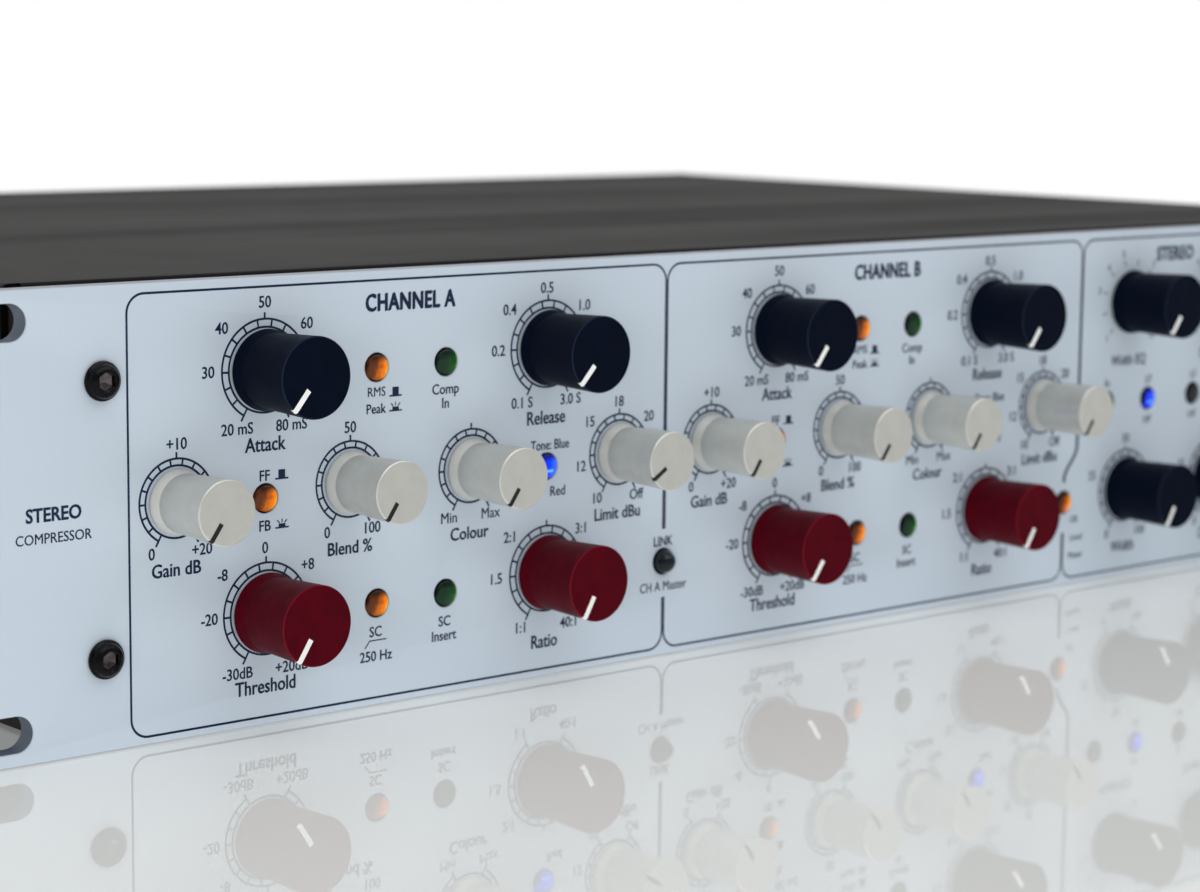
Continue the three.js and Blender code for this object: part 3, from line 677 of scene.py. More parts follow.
def dial(x, z, large, full=True):
    ro, ri = (9.91, 8.35) if large else (8.29, 6.98)
    w = 0.43
    stroke(INK, arc(x, z, ri, 0, 360 - 4, 4), w, closed=True, y0=-0.024)
    stroke(INK, arc(x, z, ro, -150, 150, 4), w, y0=-0.025)
    for k in range(16):
        a = -150 + 20 * k
        s, c = math.sin(math.radians(a)), math.cos(math.radians(a))
        stroke(INK, [(x + ri * s, z + ri * c), (x + ro * s, z + ro * c)], w * 0.95, y0=-0.027)
    for a in (-150, 0, 150):
        s, c = math.sin(math.radians(a)), math.cos(math.radians(a))
        stroke(INK, [(x + (ro - 0.1) * s, z + (ro - 0.1) * c), (x + (ro + 1.25) * s, z + (ro + 1.25) * c)], w, y0=-0.029)


_cap_ratio = {}


def text(s, x, z, capital, squeeze=0.92, bold=0.0, align="CENTER", space=1.0, y0=-0.024, heavy=None, rear=None):
    """Plain lettering from Blender's own font. (x, z) is the middle of the capitals' height. A second copy beside the first thickens it."""
    cu = bpy.data.curves.new("lettering", "FONT")
    cu.resolution_u = 3
    cu.size = 1.0
    if "cap" not in _cap_ratio:
        cu.body = "H"
        tmp = bpy.data.objects.new("lettering", cu)
        bpy.context.scene.collection.objects.link(tmp)
        bpy.context.view_layer.update()
        _cap_ratio["cap"] = tmp.dimensions.y
        bpy.data.objects.remove(tmp)
    k = capital / _cap_ratio["cap"]
    cu.body = s
    cu.align_x = "LEFT"
    cu.space_character = space
    cu.offset = bold
    cu.extrude = 0.01
    ob = bpy.data.objects.new("lettering", cu)
    bpy.context.scene.collection.objects.link(ob)
    bpy.context.view_layer.update()
    me = bpy.data.meshes.new_from_object(ob.evaluated_get(bpy.context.evaluated_depsgraph_get()))
    xs = [v.co.x for v in me.vertices]
    mid = {"CENTER": (min(xs) + max(xs)) / 2, "LEFT": min(xs), "RIGHT": max(xs)}[align]
    h = capital * 0.036 if heavy is None else heavy
    for hx, hz, hy in ((-h / 2, -h / 4, 0.0), (h / 2, h / 4, 0.0015)):
        mb = rear or INK
        base = len(mb.v)
        for v in me.vertices:
            dx = hx + (v.co.x - mid) * k * squeeze
            if rear:
                mb.v.append((x - dx, BACK - 0.03 if v.co.z < 0 else BACK + 0.024 - hy, z + hz + v.co.y * k - capital / 2))
            else:
                mb.v.append((x + dx, 0.03 if v.co.z < 0 else y0 + hy, z + hz + v.co.y * k - capital / 2))
        for p in me.polygons:
            mb.face([base + i for i in p.vertices])
    bpy.data.objects.remove(ob)
    bpy.data.meshes.remove(me)
    bpy.data.curves.remove(cu)


NAME, NUM, SMALL = 2.75, 2.2, 2.05


def out_symbol(x, z):
    """Button standing out: a block on a base line."""
    fill(INK, [(x - 0.8, z - 0.85), (x + 0.8, z - 0.85), (x + 0.8, z + 0.9), (x - 0.8, z + 0.9)], y0=-0.025)
    stroke(INK, [(x - 1.55, z - 0.88), (x + 1.55, z - 0.88)], 0.36)


def in_symbol(x, z):
    """Button pushed in: a low block on a base line with short rays."""
    fill(INK, [(x - 0.8, z - 0.55), (x + 0.8, z - 0.55), (x + 0.8, z + 0.2), (x - 0.8, z + 0.2)], y0=-0.025)
    stroke(INK, [(x - 1.6, z - 0.6), (x + 1.6, z - 0.6)], 0.33)
    for a in (-38, 0, 38):
        s, c = math.sin(math.radians(a)), math.cos(math.radians(a))
        stroke(INK, [(x + 0.7 * s * 1.3, z + 0.4 * c), (x + 1.45 * s * 1.3, z + 1.15 * c)], 0.24, y0=-0.027)


for dx, ch in ((0.0, "A"), (PITCH, "B")):
    dial(*KNOBS["knob_attack_" + ch.lower()], True)
    dial(*KNOBS["knob_release_" + ch.lower()], True)
    dial(*KNOBS["knob_threshold_" + ch.lower()], True)
    dial(*KNOBS["knob_ratio_" + ch.lower()], True)
    for n in ("gain", "blend", "colour", "limit"):
        dial(*KNOBS["knob_%s_%s" % (n, ch.lower())], False)
    rows = [
        ("CHANNEL " + ch, -140.0, 37.7, 3.3, 0.79, 0.02, 0.24, 1.07),
        ("50", -175.3, 39.2, NUM), ("40", -185.3, 34.6, NUM), ("30", -188.4, 26.3, NUM), ("60", -165.5, 34.6, NUM),
        ("20 mS", -181.9, 14.9, NUM), ("80 mS", -169.2, 14.9, NUM), ("Attack", -175.4, 11.5, NAME),
        ("RMS", -148.6, 19.8, 1.85), ("Peak", -148.7, 16.4, 1.9),
        ("FF", -175.6, 5.3, SMALL), ("FB", -175.6, -4.6, SMALL),
        ("+10", -195.6, 13.2, NUM), ("0", -201.4, -7.5, NUM), ("+20", -190.1, -7.6, NUM), ("Gain dB", -195.9, -10.9, NAME - 0.2),
        ("50", -155.1, 13.2, NUM), ("0", -160.8, -7.5, NUM), ("100", -149.6, -7.5, NUM), ("Blend %", -155.2, -11.0, NAME - 0.2),
        ("0", -175.6, -8.9, NUM), ("+8", -165.5, -13.3, NUM), ("-8", -185.5, -13.3, NUM), ("-20", -188.6, -21.7, NUM),
        ("-30dB", -182.2, -33.2, NUM), ("+20dB", -169.4, -33.2, NUM), ("Threshold", -175.7, -36.4, NAME),
        ("SC", -148.9, -29.0, SMALL), ("250 Hz", -148.8, -34.0, SMALL),
        ("Comp", -131.2, 19.2, SMALL), ("In", -131.2, 16.3, SMALL),
        ("0.5", -104.4, 38.6, NUM), ("0.4", -114.4, 34.5, NUM), ("0.2", -117.4, 26.1, NUM), ("1.0", -94.0, 34.5, NUM),
        ("0.1 S", -111.0, 14.8, NUM), ("3.0 S", -97.7, 14.8, NUM), ("Release", -104.4, 11.3, NAME),
        ("Min", -130.2, -7.6, NUM), ("Max", -119.2, -7.5, NUM), ("Colour", -124.8, -11.2, NAME - 0.2),
        ("18", -83.9, 13.2, NUM), ("15", -92.1, 9.4, NUM), ("12", -94.5, 0.0, NUM), ("10", -89.9, -7.3, NUM), ("20", -75.4, 9.4, NUM), ("Off", -78.7, -7.4, NUM),
        ("Limit dBu", -84.2, -11.0, NAME - 0.2),
        ("Tone: Blue", -103.3, 5.4, SMALL, 0.80), ("Red", -101.1, -4.6, SMALL),
        ("1.5", -117.6, -21.8, NUM), ("2:1", -114.2, -13.3, NUM), ("3:1", -94.6, -13.3, NUM), ("1:1", -111.0, -33.0, NUM), ("40:1", -97.9, -33.3, NUM), ("Ratio", -104.5, -36.6, NAME),
        ("SC", -131.3, -29.0, SMALL), ("Insert", -131.4, -32.0, SMALL),
    ]
    for row in rows:
        s, x, z, c = row[:4]
        sq = row[4] if len(row) > 4 else (0.86 if row[3] == NAME else 0.92)
        bo = row[5] if len(row) > 5 else (0.0 if "M" in s else 0.008)
        text(s, x + dx, z, c, sq, bo, heavy=row[6] if len(row) > 6 else (0.13 if row[3] > 2.4 else None), space=row[7] if len(row) > 7 else 1.0)
    out_symbol(-143.9 + dx, 19.6)
    in_symbol(-143.9 + dx, 16.3)
    out_symbol(-171.6 + dx, 5.3)
    in_symbol(-171.6 + dx, -4.7)
    stroke(INK, [(-151.6 + dx, -32.3), (-150.4 + dx, -30.8), (-146.2 + dx, -30.8)], 0.26)

# third section: a stereo width and depth control with meters
text("STEREO", 105.4, 37.7, 3.3, 0.84, 0.02, heavy=0.24, space=1.07)
for name in ("knob_width_level", "knob_depth_level"):
    dial(*KNOBS[name], True)
for name in ("knob_width_eq", "knob_depth_eq"):
    kx, kz = KNOBS[name]
    for k, a in enumerate((-135, -105, -75, -45, -15, 15, 45, 75, 105, 135)):
        s, c = math.sin(math.radians(a)), math.cos(math.radians(a))
        stroke(INK, [(kx + 9.4 * s, kz + 9.4 * c), (kx + 10.9 * s, kz + 10.9 * c)], 0.33)
        if k % 2 == 0 or k in (3, 9):
            text(str(k + 1), kx + 12.6 * s, kz + 12.6 * c, 1.7)
for name, label, lo, hi in (("knob_width_level", "Width", "0", "100"), ("knob_depth_level", "Depth", "0", "100")):
    kx, kz = KNOBS[name]
    text("50", kx, kz + 13.0, NUM)
    text("25", kx - 12.9, kz + 4.4, NUM)
    text("75", kx + 12.9, kz + 4.4, NUM)
    text(lo, kx - 6.4, kz - 11.3, NUM)
    text(hi, kx + 7.0, kz - 11.3, NUM)
    text(label, kx, kz - 14.8, NAME, 0.88, 0.008)
text("Width EQ", 88.0, 11.3, NAME - 0.2, 0.88, 0.008)
text("Depth EQ", 124.0, 11.3, NAME - 0.2, 0.88, 0.008)
for name, top, under in (("button_stereo_in", "In", ""), ("button_width_freq", "LF", "HF"), ("button_depth_freq", "LF", "HF"), ("button_depth_in", "In", "")):
    bx, bz = BUTTONS[name]
    text(top, bx, bz + 5.0, SMALL)
    if under:
        text(under, bx, bz - 5.4, SMALL)
for s, z in (("GR", -27.8), ("Level", -32.4), ("Meter", -37.0)):
    text(s, 69.6 if s != "GR" else 68.6, z, 1.7, align="CENTER")
text("LINK", -70.7, -18.7, SMALL, 0.86, 0.012)
text("CH A Master", -70.5, -28.7, SMALL, 0.84, 0.0)

# meters: scale numbers between each pair of bars, generic
for x0, x1, label in ((METER_X[0], METER_X[1], "A"), (METER_X[2], METER_X[3], "B")):
    mid = (x0 + x1) / 2
    for k, s in enumerate(("+18", "+12", "+6", "0", "-6", "-12", "-20")):
        z = METER_Z1 - 2.0 - k * (METER_Z1 - METER_Z0 - 4.0) / 6
        text(s, mid, z, 1.35, 0.86)
        for sx in (-1, 1):
            stroke(INK, [(mid + sx * 2.75, z), (mid + sx * 3.35, z)], 0.18)
    text(label, mid, METER_Z1 + 4.2, 2.6, 0.9, 0.02)
    text("GR", x0, METER_Z0 - 3.4, 1.6)
    text("LVL", x1, METER_Z0 - 3.4, 1.6)
text("POWER", BUTTONS["button_power"][0], BUTTONS["button_power"][1] + 5.6, SMALL, 0.88, 0.01)

# left end: the unit's kind, in plain capitals
text("STEREO", -222.3, 2.4, 2.5, 0.92, 0.02)
text("COMPRESSOR", -222.3, -2.0, 1.9, 0.92, 0.0)

ink = piece("panel_print", INK, M["ink"], "root", "panel_finish", smooth=0, recalc=True, weld=True)

# ------------------------------------------------------------------ knobs
def pointer_angle(name):
    """Angle of the groove cut in the CAD knob: the direction of the vertices that only the groove has."""
    cx, cz = KNOBS[name]
    f = local_box(name)[0][1]
    sx = sz = 0.0
    for v in NODES[name].data.vertices:
        y = (v.co.y - FY) / MM
        if f + 0.2 < y < f + 0.45:
            x, z = (v.co.x - FX) / MM - cx, (v.co.z - FZ) / MM - cz
            r = math.hypot(x, z)
            if 1.0 < r:
                sx += x
                sz += z
    return math.atan2(sx, sz)


def build_knob(name):
    cx, cz = KNOBS[name]
    f = KNOB_TIP
    if big(name):
        skirt, waist, front, ch, mark_w = 8.0, 7.45, 7.98, 0.30, 1.12
    else:
        skirt, waist, front, ch, mark_w = 6.40, 5.80, 6.32, 0.30, 0.98
    ang = pointer_angle(name)
    mb = Build()
    e = skirt - waist
    prof = [(0, 11.5), (2.75, 11.5), (3.0, 11.25), (3.0, -0.5), (skirt - 0.35, -0.5), (skirt - 0.12, -0.56), (skirt, -0.72),
            (skirt, -0.95), (skirt - 0.04, -1.12), (skirt - e * 0.30, -1.60), (skirt - e * 0.62, -2.25),
            (skirt - e * 0.93, -2.90), (waist - 0.02, -3.02), (waist, -3.2), (waist + (front - waist) * 0.25, -6.8),
            (waist + (front - waist) * 0.5, -10.2), (waist + (front - waist) * 0.75, -13.6), (front - 0.015, f + ch + 0.14), (front, f + ch + 0.05), (front - 0.02, f + ch - 0.04),
            (front - ch + 0.05, f + 0.04), (front - ch - 0.04, f + 0.005), (front - ch - 0.14, f), (front * 0.55, f), (0, f)]
    lathe(mb, prof, cx, cz, 112 if big(name) else 96)
    kind = colour_of(name)
    body = piece(name + "_turned", mb, M["knob_" + kind], name, "knob_" + kind, [name], smooth=22, origin=(cx, 0, cz))
    # pointer: filled groove from half radius over the chamfer and a little down the side
    pm = Build()
    r0 = front * 0.36
    top = [(r0, f - 0.02), (front - ch - 0.02, f - 0.02), (front + 0.015, f + ch - 0.02), (front + 0.02, f + ch + 0.42)]
    low = [(r0, f + 0.3), (front - ch - 0.25, f + 0.3), (front - 0.3, f + ch + 0.1), (front - 0.3, f + ch + 0.42)]
    h = mark_w / 2
    s, c = math.sin(ang), math.cos(ang)

    def at(r, y, side):
        return (cx + r * s + side * h * c, y, cz + r * c - side * h * s)
    left = [pm.add([at(r, y, -1)]) for r, y in top]
    right = [pm.add([at(r, y, 1)]) for r, y in top]
    ll = [pm.add([at(r, y, -1)]) for r, y in low]
    lr = [pm.add([at(r, y, 1)]) for r, y in low]
    for i in range(3):
        pm.face((left[i], left[i + 1], right[i + 1], right[i]))
        pm.face((ll[i], lr[i], lr[i + 1], ll[i + 1]))
        pm.face((left[i], ll[i], ll[i + 1], left[i + 1]))
        pm.face((right[i], right[i + 1], lr[i + 1], lr[i]))
    pm.face((left[0], right[0], lr[0], ll[0]))
    pm.face((left[3], ll[3], lr[3], right[3]))
    mk = "mark_black" if kind == "grey" else "mark_white"
    piece(name + "_pointer", pm, M[mk], name, "knob_" + kind, smooth=30)


def colour_of(name):
    if "threshold" in name or "ratio" in name:
        return "burgundy"
    return "dark" if big(name) else "grey"


for name in KNOBS:
    build_knob(name)

# ------------------------------------------------------------------ push buttons

def button_colour(name):
    if "link" in name or "depth_in" in name or "depth_freq" in name:
        return "unlit"
    if "comp_in" in name or "sc_insert" in name or "stereo_in" in name:
        return "green"
    if "tone" in name or "width_freq" in name or "power" in name:
        return "blue"
    return "orange"


def build_button(name):
    cx, cz = BUTTONS[name]
    y0 = local_box(name)[0][1]
    y1 = local_box(name)[1][1]
    R = 2.6
    prof = [(0, y0)]
    n = 14
    for i in range(1, n + 1):
        t = math.pi / 2 * i / n
        prof.append((R * math.sin(t), y0 + (-0.1 - y0) * (1 - math.cos(t))))
    prof += [(R, y1 - 0.2), (2.4, y1), (0, y1)]
    mb = Build()
    lathe(mb, prof, cx, cz, 64)
    kind = button_colour(name)
    piece(name + "_cap", mb, M["button_" + kind], name, "button_" + kind, [name], smooth=40, origin=(cx, y0, cz))


for name in BUTTONS:
    build_button(name)

# ------------------------------------------------------------------ front screws: button heads with a hexagon socket
def hex_loop(cx, cz, af, n, y):
    """n points round a hexagon of half width af across its flats."""
    pts = []
    for i in range(n):
        a = 2 * math.pi * i / n
        k = (a % (math.pi / 3)) - math.pi / 6
        r = af / math.cos(k)
        pts.append((cx + r * math.sin(a), y, cz + r * math.cos(a)))
    return pts


def build_screw(name):
    cx, cz = SCREWS[name]
    n = 60
    mb = Build()
    outer = [(2.05, PANEL_T + 6.0), (2.05, -0.05), (3.7, -0.05), (3.95, -0.12), (4.0, -0.3), (4.0, -0.55), (3.92, -0.74), (3.7, -0.9), (3.5, -1.02), (3.42, -1.14), (3.36, -1.42), (3.16, -1.74), (2.86, -1.98), (2.5, -2.16), (2.24, -2.25), (2.1, -2.27), (2.0, -2.22)]
    outer = [(r * 0.95 if r > 2.06 else r, y) for r, y in outer]
    base = [mb.add([(cx + r * math.sin(2 * math.pi * i / n), y, cz + r * math.cos(2 * math.pi * i / n)) for i in range(n)]) for r, y in outer]
    tip = mb.add([(cx, PANEL_T + 6.4, cz)])
    mb.fan(base[0], n, tip)
    for a, b in zip(base, base[1:]):
        mb.bridge(a, b, n)
    h1 = mb.add(hex_loop(cx, cz, 1.62, n, -2.06))
    h2 = mb.add(hex_loop(cx, cz, 1.60, n, -1.0))
    mb.bridge(base[-1], h1, n)
    mb.bridge(h1, h2, n)
    cone = mb.add([(cx, -0.3, cz)])
    mb.fan(h2, n, cone, 1)
    piece(name + "_head", mb, [M["screw"], M["socket"]], "root", "black_screw", [name], smooth=28, origin=(cx, 0, cz))


for name in SCREWS:
    build_screw(name)

# ------------------------------------------------------------------ CAD nodes that stay: giving one a new finish
def assign(node, material):
    ob = NODES[node]
    ob.data.materials.clear()
    ob.data.materials.append(material)



# ------------------------------------------------------------------ folded case
def build_cover():
    lo, hi = local_box("top_cover")
    x, t, zb, zt, r, ri = hi[0], 1.5, lo[2], hi[2], 2.0, 0.5
    zb = zt - 13.0

    def bendp(cx, cz, rad, a0, a1, n=8):
        return [(cx + rad * math.cos(math.radians(a0 + (a1 - a0) * i / n)), cz + rad * math.sin(math.radians(a0 + (a1 - a0) * i / n))) for i in range(n + 1)]
    pts = [(x, zb)] + bendp(x - r, zt - r, r, 0, 90) + bendp(-x + r, zt - r, r, 90, 180) + [(-x, zb), (-x + t, zb)]
    pts += bendp(-x + r, zt - r, ri, 180, 90) + bendp(x - r, zt - r, ri, 90, 0) + [(x - t, zb)]
    mb = Build()
    y0 = lo[1]
    plate(mb, poly(pts), [], y0 + 1.8, hi[1], 0, 0.25, 2, "y")
    lip = [(y0 + 1.8, zt)] + bendp(y0 + 1.8, zt - 1.8, 1.8, 90, 180) + [(y0, zt - 5.3), (y0 + 0.15, zt - 5.5), (y0 + 1.35, zt - 5.5), (y0 + 1.5, zt - 5.3)] + bendp(y0 + 1.8, zt - 1.8, 0.3, 180, 90, 4)
    plate(mb, poly(lip), [], -x + 4, x - 4, 0.15, 0.15, 2, "x")
    piece("cover_sheet", mb, M["cover"], "root", "cover_paint", ["top_cover"], smooth=30)


build_cover()


def refine(node, name, material, width=0.22, seg=2):
    """The CAD sheet metal with its sharp edges eased."""
    src = NODES[node].data
    me = src.copy()
    me.name = name
    bm = bmesh.new()
    bm.from_mesh(me)
    bmesh.ops.remove_doubles(bm, verts=bm.verts, dist=1e-6)
    bmesh.ops.dissolve_limit(bm, angle_limit=math.radians(1.0), verts=bm.verts, edges=bm.edges)
    edges = [e for e in bm.edges if len(e.link_faces) == 2 and e.calc_face_angle(0) > math.radians(25)]
    bmesh.ops.bevel(bm, geom=edges, offset=width * MM, segments=seg, profile=0.5, affect="EDGES", clamp_overlap=True)
    bmesh.ops.triangulate(bm, faces=[f for f in bm.faces if len(f.verts) > 4])
    bm.to_mesh(me)
    bm.free()
    me.materials.clear()
    me.materials.append(material)
    me.shade_smooth()
    me.set_sharp_from_angle(angle=math.radians(35))
    ob = bpy.data.objects.new(name, me)
    bpy.context.scene.collection.objects.link(ob)
    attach(ob, "root")
    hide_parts(node)
    return ob


refine("chassis_tray", "chassis_sheet", M["chassis"])

# ------------------------------------------------------------------ rear panel
FL = BACK + 0.3
INLET = centre("mains_inlet")
_jx, _jz = centre("insert_jack_board")
JACKS = ((_jx - 15.0, _jz), (_jx + 15.0, _jz))
SOCKET = [(-12, -3.6), (12, -3.6), (12, 8), (7, 13), (-7, 13), (-12, 8)]


def build_rear():
    mb = Build()
    lo, hi = local_box("rear_panel")
    holes = [rrect(INLET[0] - 13.8, INLET[0] + 13.8, INLET[1] - 16.3, INLET[1] + 16.3, 0.6, 3)]
    for i in range(12):
        x = 63.5 + i * 7
        holes.append(rrect(x - 1.5, x + 1.5, -24, 24, 1.49, 6))
    holes += [circle(x, z, 12.1, 64) for x, z in XLRS.values()]
    holes += [circle(x, z, 4.9, 40) for x, z in JACKS]
    plate(mb, rrect(lo[0], hi[0], lo[2], hi[2], 0.8, 3), holes, lo[1], hi[1], 0.2, 0.25, 2)
    piece("rear_sheet", mb, M["chassis"], "root", "chassis_paint", ["rear_panel"], smooth=35)


build_rear()


def cross_screw(mb, x, z, y, r=2.6, h=0.95):
    """Pan head with a cross recess, its underside on y."""
    a, b = 0.32, r * 0.62
    cross = [(a, a), (b, a), (b, -a), (a, -a), (a, -b), (-a, -b), (-a, -a), (-b, -a), (-b, a), (-a, a), (-a, b), (a, b)]
    plate(mb, circle(x, z, r, 36), [poly([(x + p, z + q) for p, q in cross])], y, y + h, 0, r * 0.22, 3)
    plate(mb, circle(x, z, r * 0.8, 24), [], y - 0.4, y + 0.2, 0, 0, 1)


def around(x, z, R, h, top, n=64):
    """Circle with a square-ended notch at the top: up to top if it is outside the circle, else down to it."""
    def make(sign):
        def fn(d=0.0):
            rr, hh, tt = R + d, h + sign * d, top + d
            a = math.asin(min(0.999, hh / rr))
            pts = []
            for i in range(n + 1):                  # clockwise from just right of the notch round to its left
                t = a + (2 * math.pi - 2 * a) * i / n
                pts.append((x + rr * math.sin(t), z + rr * math.cos(t)))
            pts += [(x - hh, z + tt), (x + hh, z + tt)]
            return pts
        return fn
    return make(1.0 if top > R else -1.0)


PINS = ((-3.5, 1.6), (3.5, 1.6), (0.0, -3.6))


def build_xlr(name):
    x, z = XLRS[name]
    female = "_in_" in name
    metal, plastic, gold = Build(), Build(), Build()
    screws = [(x + s * 9.5, z - s * 12) for s in (-1, 1)]
    fl_out = rrect(x - 13, x + 13, z - 15.5, z + 15.5, 2.4, 6)
    if female:
        plate(metal, fl_out, [around(x, z, 10.75, 3.5, 11.6)], FL, FL + 2.2, 0.1, 0.5, 3)
        plate(plastic, around(x, z, 10.35, 3.5, 6.4), [circle(x + a, z + b, 1.5, 28) for a, b in PINS], FL - 8.0, FL + 3.3, 0.1, 0.45, 3)
        lathe(plastic, [(0, BACK - 22), (11.6, BACK - 22), (11.8, BACK - 21.8), (11.8, FL - 6.3), (10.8, FL - 6.3), (10.8, FL - 8.2), (0, FL - 8.2)], x, z, 64)
        for a, b in PINS:
            ring_lathe(gold, [(1.12, FL - 7.9), (1.45, FL - 7.9), (1.45, FL + 0.9), (1.12, FL + 0.9)], x + a, z + b, 28)
    else:
        plate(metal, fl_out, [circle(x, z, 9.6, 64)], FL, FL + 2.2, 0.1, 0.5, 3)
        ring_lathe(plastic, [(9.4, FL - 14), (11.8, FL - 14), (11.8, FL - 0.05), (9.62, FL - 0.05), (9.62, FL + 2.3), (9.5, FL + 2.4), (9.4, FL + 2.3)], x, z, 64)
        lathe(plastic, [(0, BACK - 22), (11.8, BACK - 22), (11.8, FL - 14.02), (0, FL - 14.02)], x, z, 64)
        plate(plastic, rrect(x - 1.5, x + 1.5, z - 9.5, z - 7.9, 0.4, 3), [], FL - 14, FL - 0.6, 0, 0.3, 2)
        for a, b in PINS:
            lathe(gold, [(0, FL - 15), (1.1, FL - 15), (1.1, FL - 2.2), (1.04, FL - 1.7), (0.85, FL - 1.3), (0.5, FL - 1.06), (0, FL - 1.0)], x + a, z + b, 28)
    for sx, sz in screws:
        cross_screw(metal, sx, sz, FL + 2.15)
    piece(name + "_flange", metal, M["black_metal"], "root", "black_metal", [name], smooth=35)
    piece(name + "_insert", plastic, M["black_plastic"], "root", "black_plastic", smooth=35)
    piece(name + "_contacts", gold, M["gold"], "root", "bright_metal", smooth=35)


for name in XLRS:
    build_xlr(name)

for ch in "ab":
    node = "xlr_release_tab_" + ch
    lo, hi = local_box(node)
    mb = Build()
    plate(mb, rrect(lo[0], hi[0], lo[2], hi[2], 0.6, 4), [], lo[1], hi[1] - 0.9, 0.15, 0.3, 2)
    for k in range(3):                              # finger ridges
        z = lo[2] + 0.9 + k * (hi[2] - lo[2] - 1.8) / 2
        plate(mb, rrect(lo[0] + 0.5, hi[0] - 0.5, z - 0.42, z + 0.42, 0.3, 3), [], hi[1] - 1.2, hi[1], 0, 0.25, 2)
    piece(node + "_lever", mb, M["steel"], node, "bright_metal", [node], smooth=35)


def build_jacks():
    plastic, metal, board = Build(), Build(), Build()
    for x, z in JACKS:
        box(plastic, x - 8, x + 8, BACK - 28.6, BACK - 1.8, z - 8, z + 8, 0.4, "y")
        prof = [(0, BACK - 6.0), (3.2, BACK - 6.0), (3.2, BACK + 5.15), (3.5, BACK + 5.5), (4.25, BACK + 5.5), (4.42, BACK + 5.3)]
        y = BACK + 5.1
        while y > BACK + 2.5:
            prof += [(4.6, y), (4.6, y - 0.12), (4.32, y - 0.3), (4.32, y - 0.36)]
            y -= 0.55
        prof += [(4.6, y), (4.6, BACK - 7.0), (0, BACK - 7.0)]
        lathe(plastic, prof, x, z, 48)
        hexa = lambda d=0.0, x=x, z=z: [(x + (6.6 + d) * math.cos(math.pi / 3 * i), z + (6.6 + d) * math.sin(math.pi / 3 * i)) for i in range(6)]
        plate(metal, hexa, [circle(x, z, 4.66, 48)], BACK + 0.3, BACK + 2.6, 0.1, 0.35, 2)
    lo, hi = local_box("insert_jack_board")
    box(board, lo[0], hi[0], BACK - 30, BACK - 28.4, lo[2], hi[2], 0.1, "y")
    piece("insert_jack_bodies", plastic, M["black_plastic"], "root", "black_plastic", ["insert_jack_board"], smooth=30)
    piece("insert_jack_nuts", metal, M["steel"], "root", "bright_metal", smooth=30)
    piece("insert_jack_pcb", board, M["pcb"], "root", "circuit_board", smooth=30)


def build_inlet():
    x, z = INLET
    sock = poly([(x + a, z + b) for a, b in SOCKET])
    drawer = rrect(x - 11, x + 11, z - 14.2, z - 6.4, 0.4, 3)
    p, m, s = Build(), Build(), Build()
    plate(p, rrect(x - 22, x + 22, z - 17.4, z + 17.4, 3.2, 8), [sock, drawer], FL, FL + 3.0, 0.1, 0.7, 4)
    plate(p, rrect(x - 13.4, x + 13.4, z - 15.9, z + 15.9, 1.0, 4), [sock, drawer], BACK - 30, FL - 0.02, 0.2, 0, 2)
    box(p, x - 13.0, x + 13.0, FL - 17, FL - 15, z - 5.0, z + 14.5, 0.2, "y")
    box(p, x - 12.0, x + 12.0, FL - 23.5, FL - 22, z - 15.0, z - 6.0, 0.2, "y")
    for a, b in ((-7, 3), (7, 3), (0, 7.5)):
        plate(m, rrect(x + a - 1, x + a + 1, z + b - 2.4, z + b + 2.4, 0.35, 3), [], FL - 16, FL - 1, 0, 0.6, 2)
    for sx in (-1, 1):
        cross_screw(s, x + sx * 18, z, FL + 2.9, 2.9, 1.2)
    piece("mains_inlet_housing", p, M["black_plastic"], "root", "black_plastic", ["mains_inlet"], smooth=30)
    piece("mains_inlet_blades", m, M["steel"], "root", "bright_metal", smooth=30)
    piece("mains_inlet_screws", s, M["screw"], "root", "black_screw", smooth=30)
    d = Build()
    lo, hi = local_box("fuse_drawer")
    body = rrect(lo[0], hi[0], lo[2], hi[2], 0.5, 3)
    plate(d, body, [], lo[1], hi[1] - 1.4, 0.2, 0, 2)
    c = (lo[0] + hi[0]) / 2
    notch = [(lo[0], lo[2]), (hi[0], lo[2]), (hi[0], hi[2]), (c + 2.5, hi[2]), (c + 2.5, hi[2] - 1.8), (c - 2.5, hi[2] - 1.8), (c - 2.5, hi[2]), (lo[0], hi[2])]
    plate(d, poly(notch), [], hi[1] - 1.42, hi[1], 0, 0.35, 3)
    piece("fuse_drawer_front", d, M["black_plastic"], "fuse_drawer", "black_plastic", ["fuse_drawer"], smooth=30)


# plain markings over the rear connectors
REAR = Build()
for name, (x, z) in XLRS.items():
    text("INPUT" if "_in_" in name else "OUTPUT", x, z + 19.4, 2.1, 0.9, rear=REAR)
for ch in "ab":
    x = (XLRS["xlr_in_" + ch][0] + XLRS["xlr_out_" + ch][0]) / 2
    text("CHANNEL " + ch.upper(), x, XLRS["xlr_in_" + ch][1] + 25.0, 2.4, 0.88, 0.01, rear=REAR)
for (x, z), s in zip(JACKS, ("A", "B")):
    text(s, x, z + 10.6, 2.1, 0.9, rear=REAR)
text("INSERT", (JACKS[0][0] + JACKS[1][0]) / 2, JACKS[0][1] + 16.2, 2.4, 0.88, 0.01, rear=REAR)
text("MAINS", INLET[0], INLET[1] + 22.0, 2.1, 0.9, rear=REAR)
piece("rear_print", REAR, M["mark_white"], "root", "chassis_paint", smooth=0)

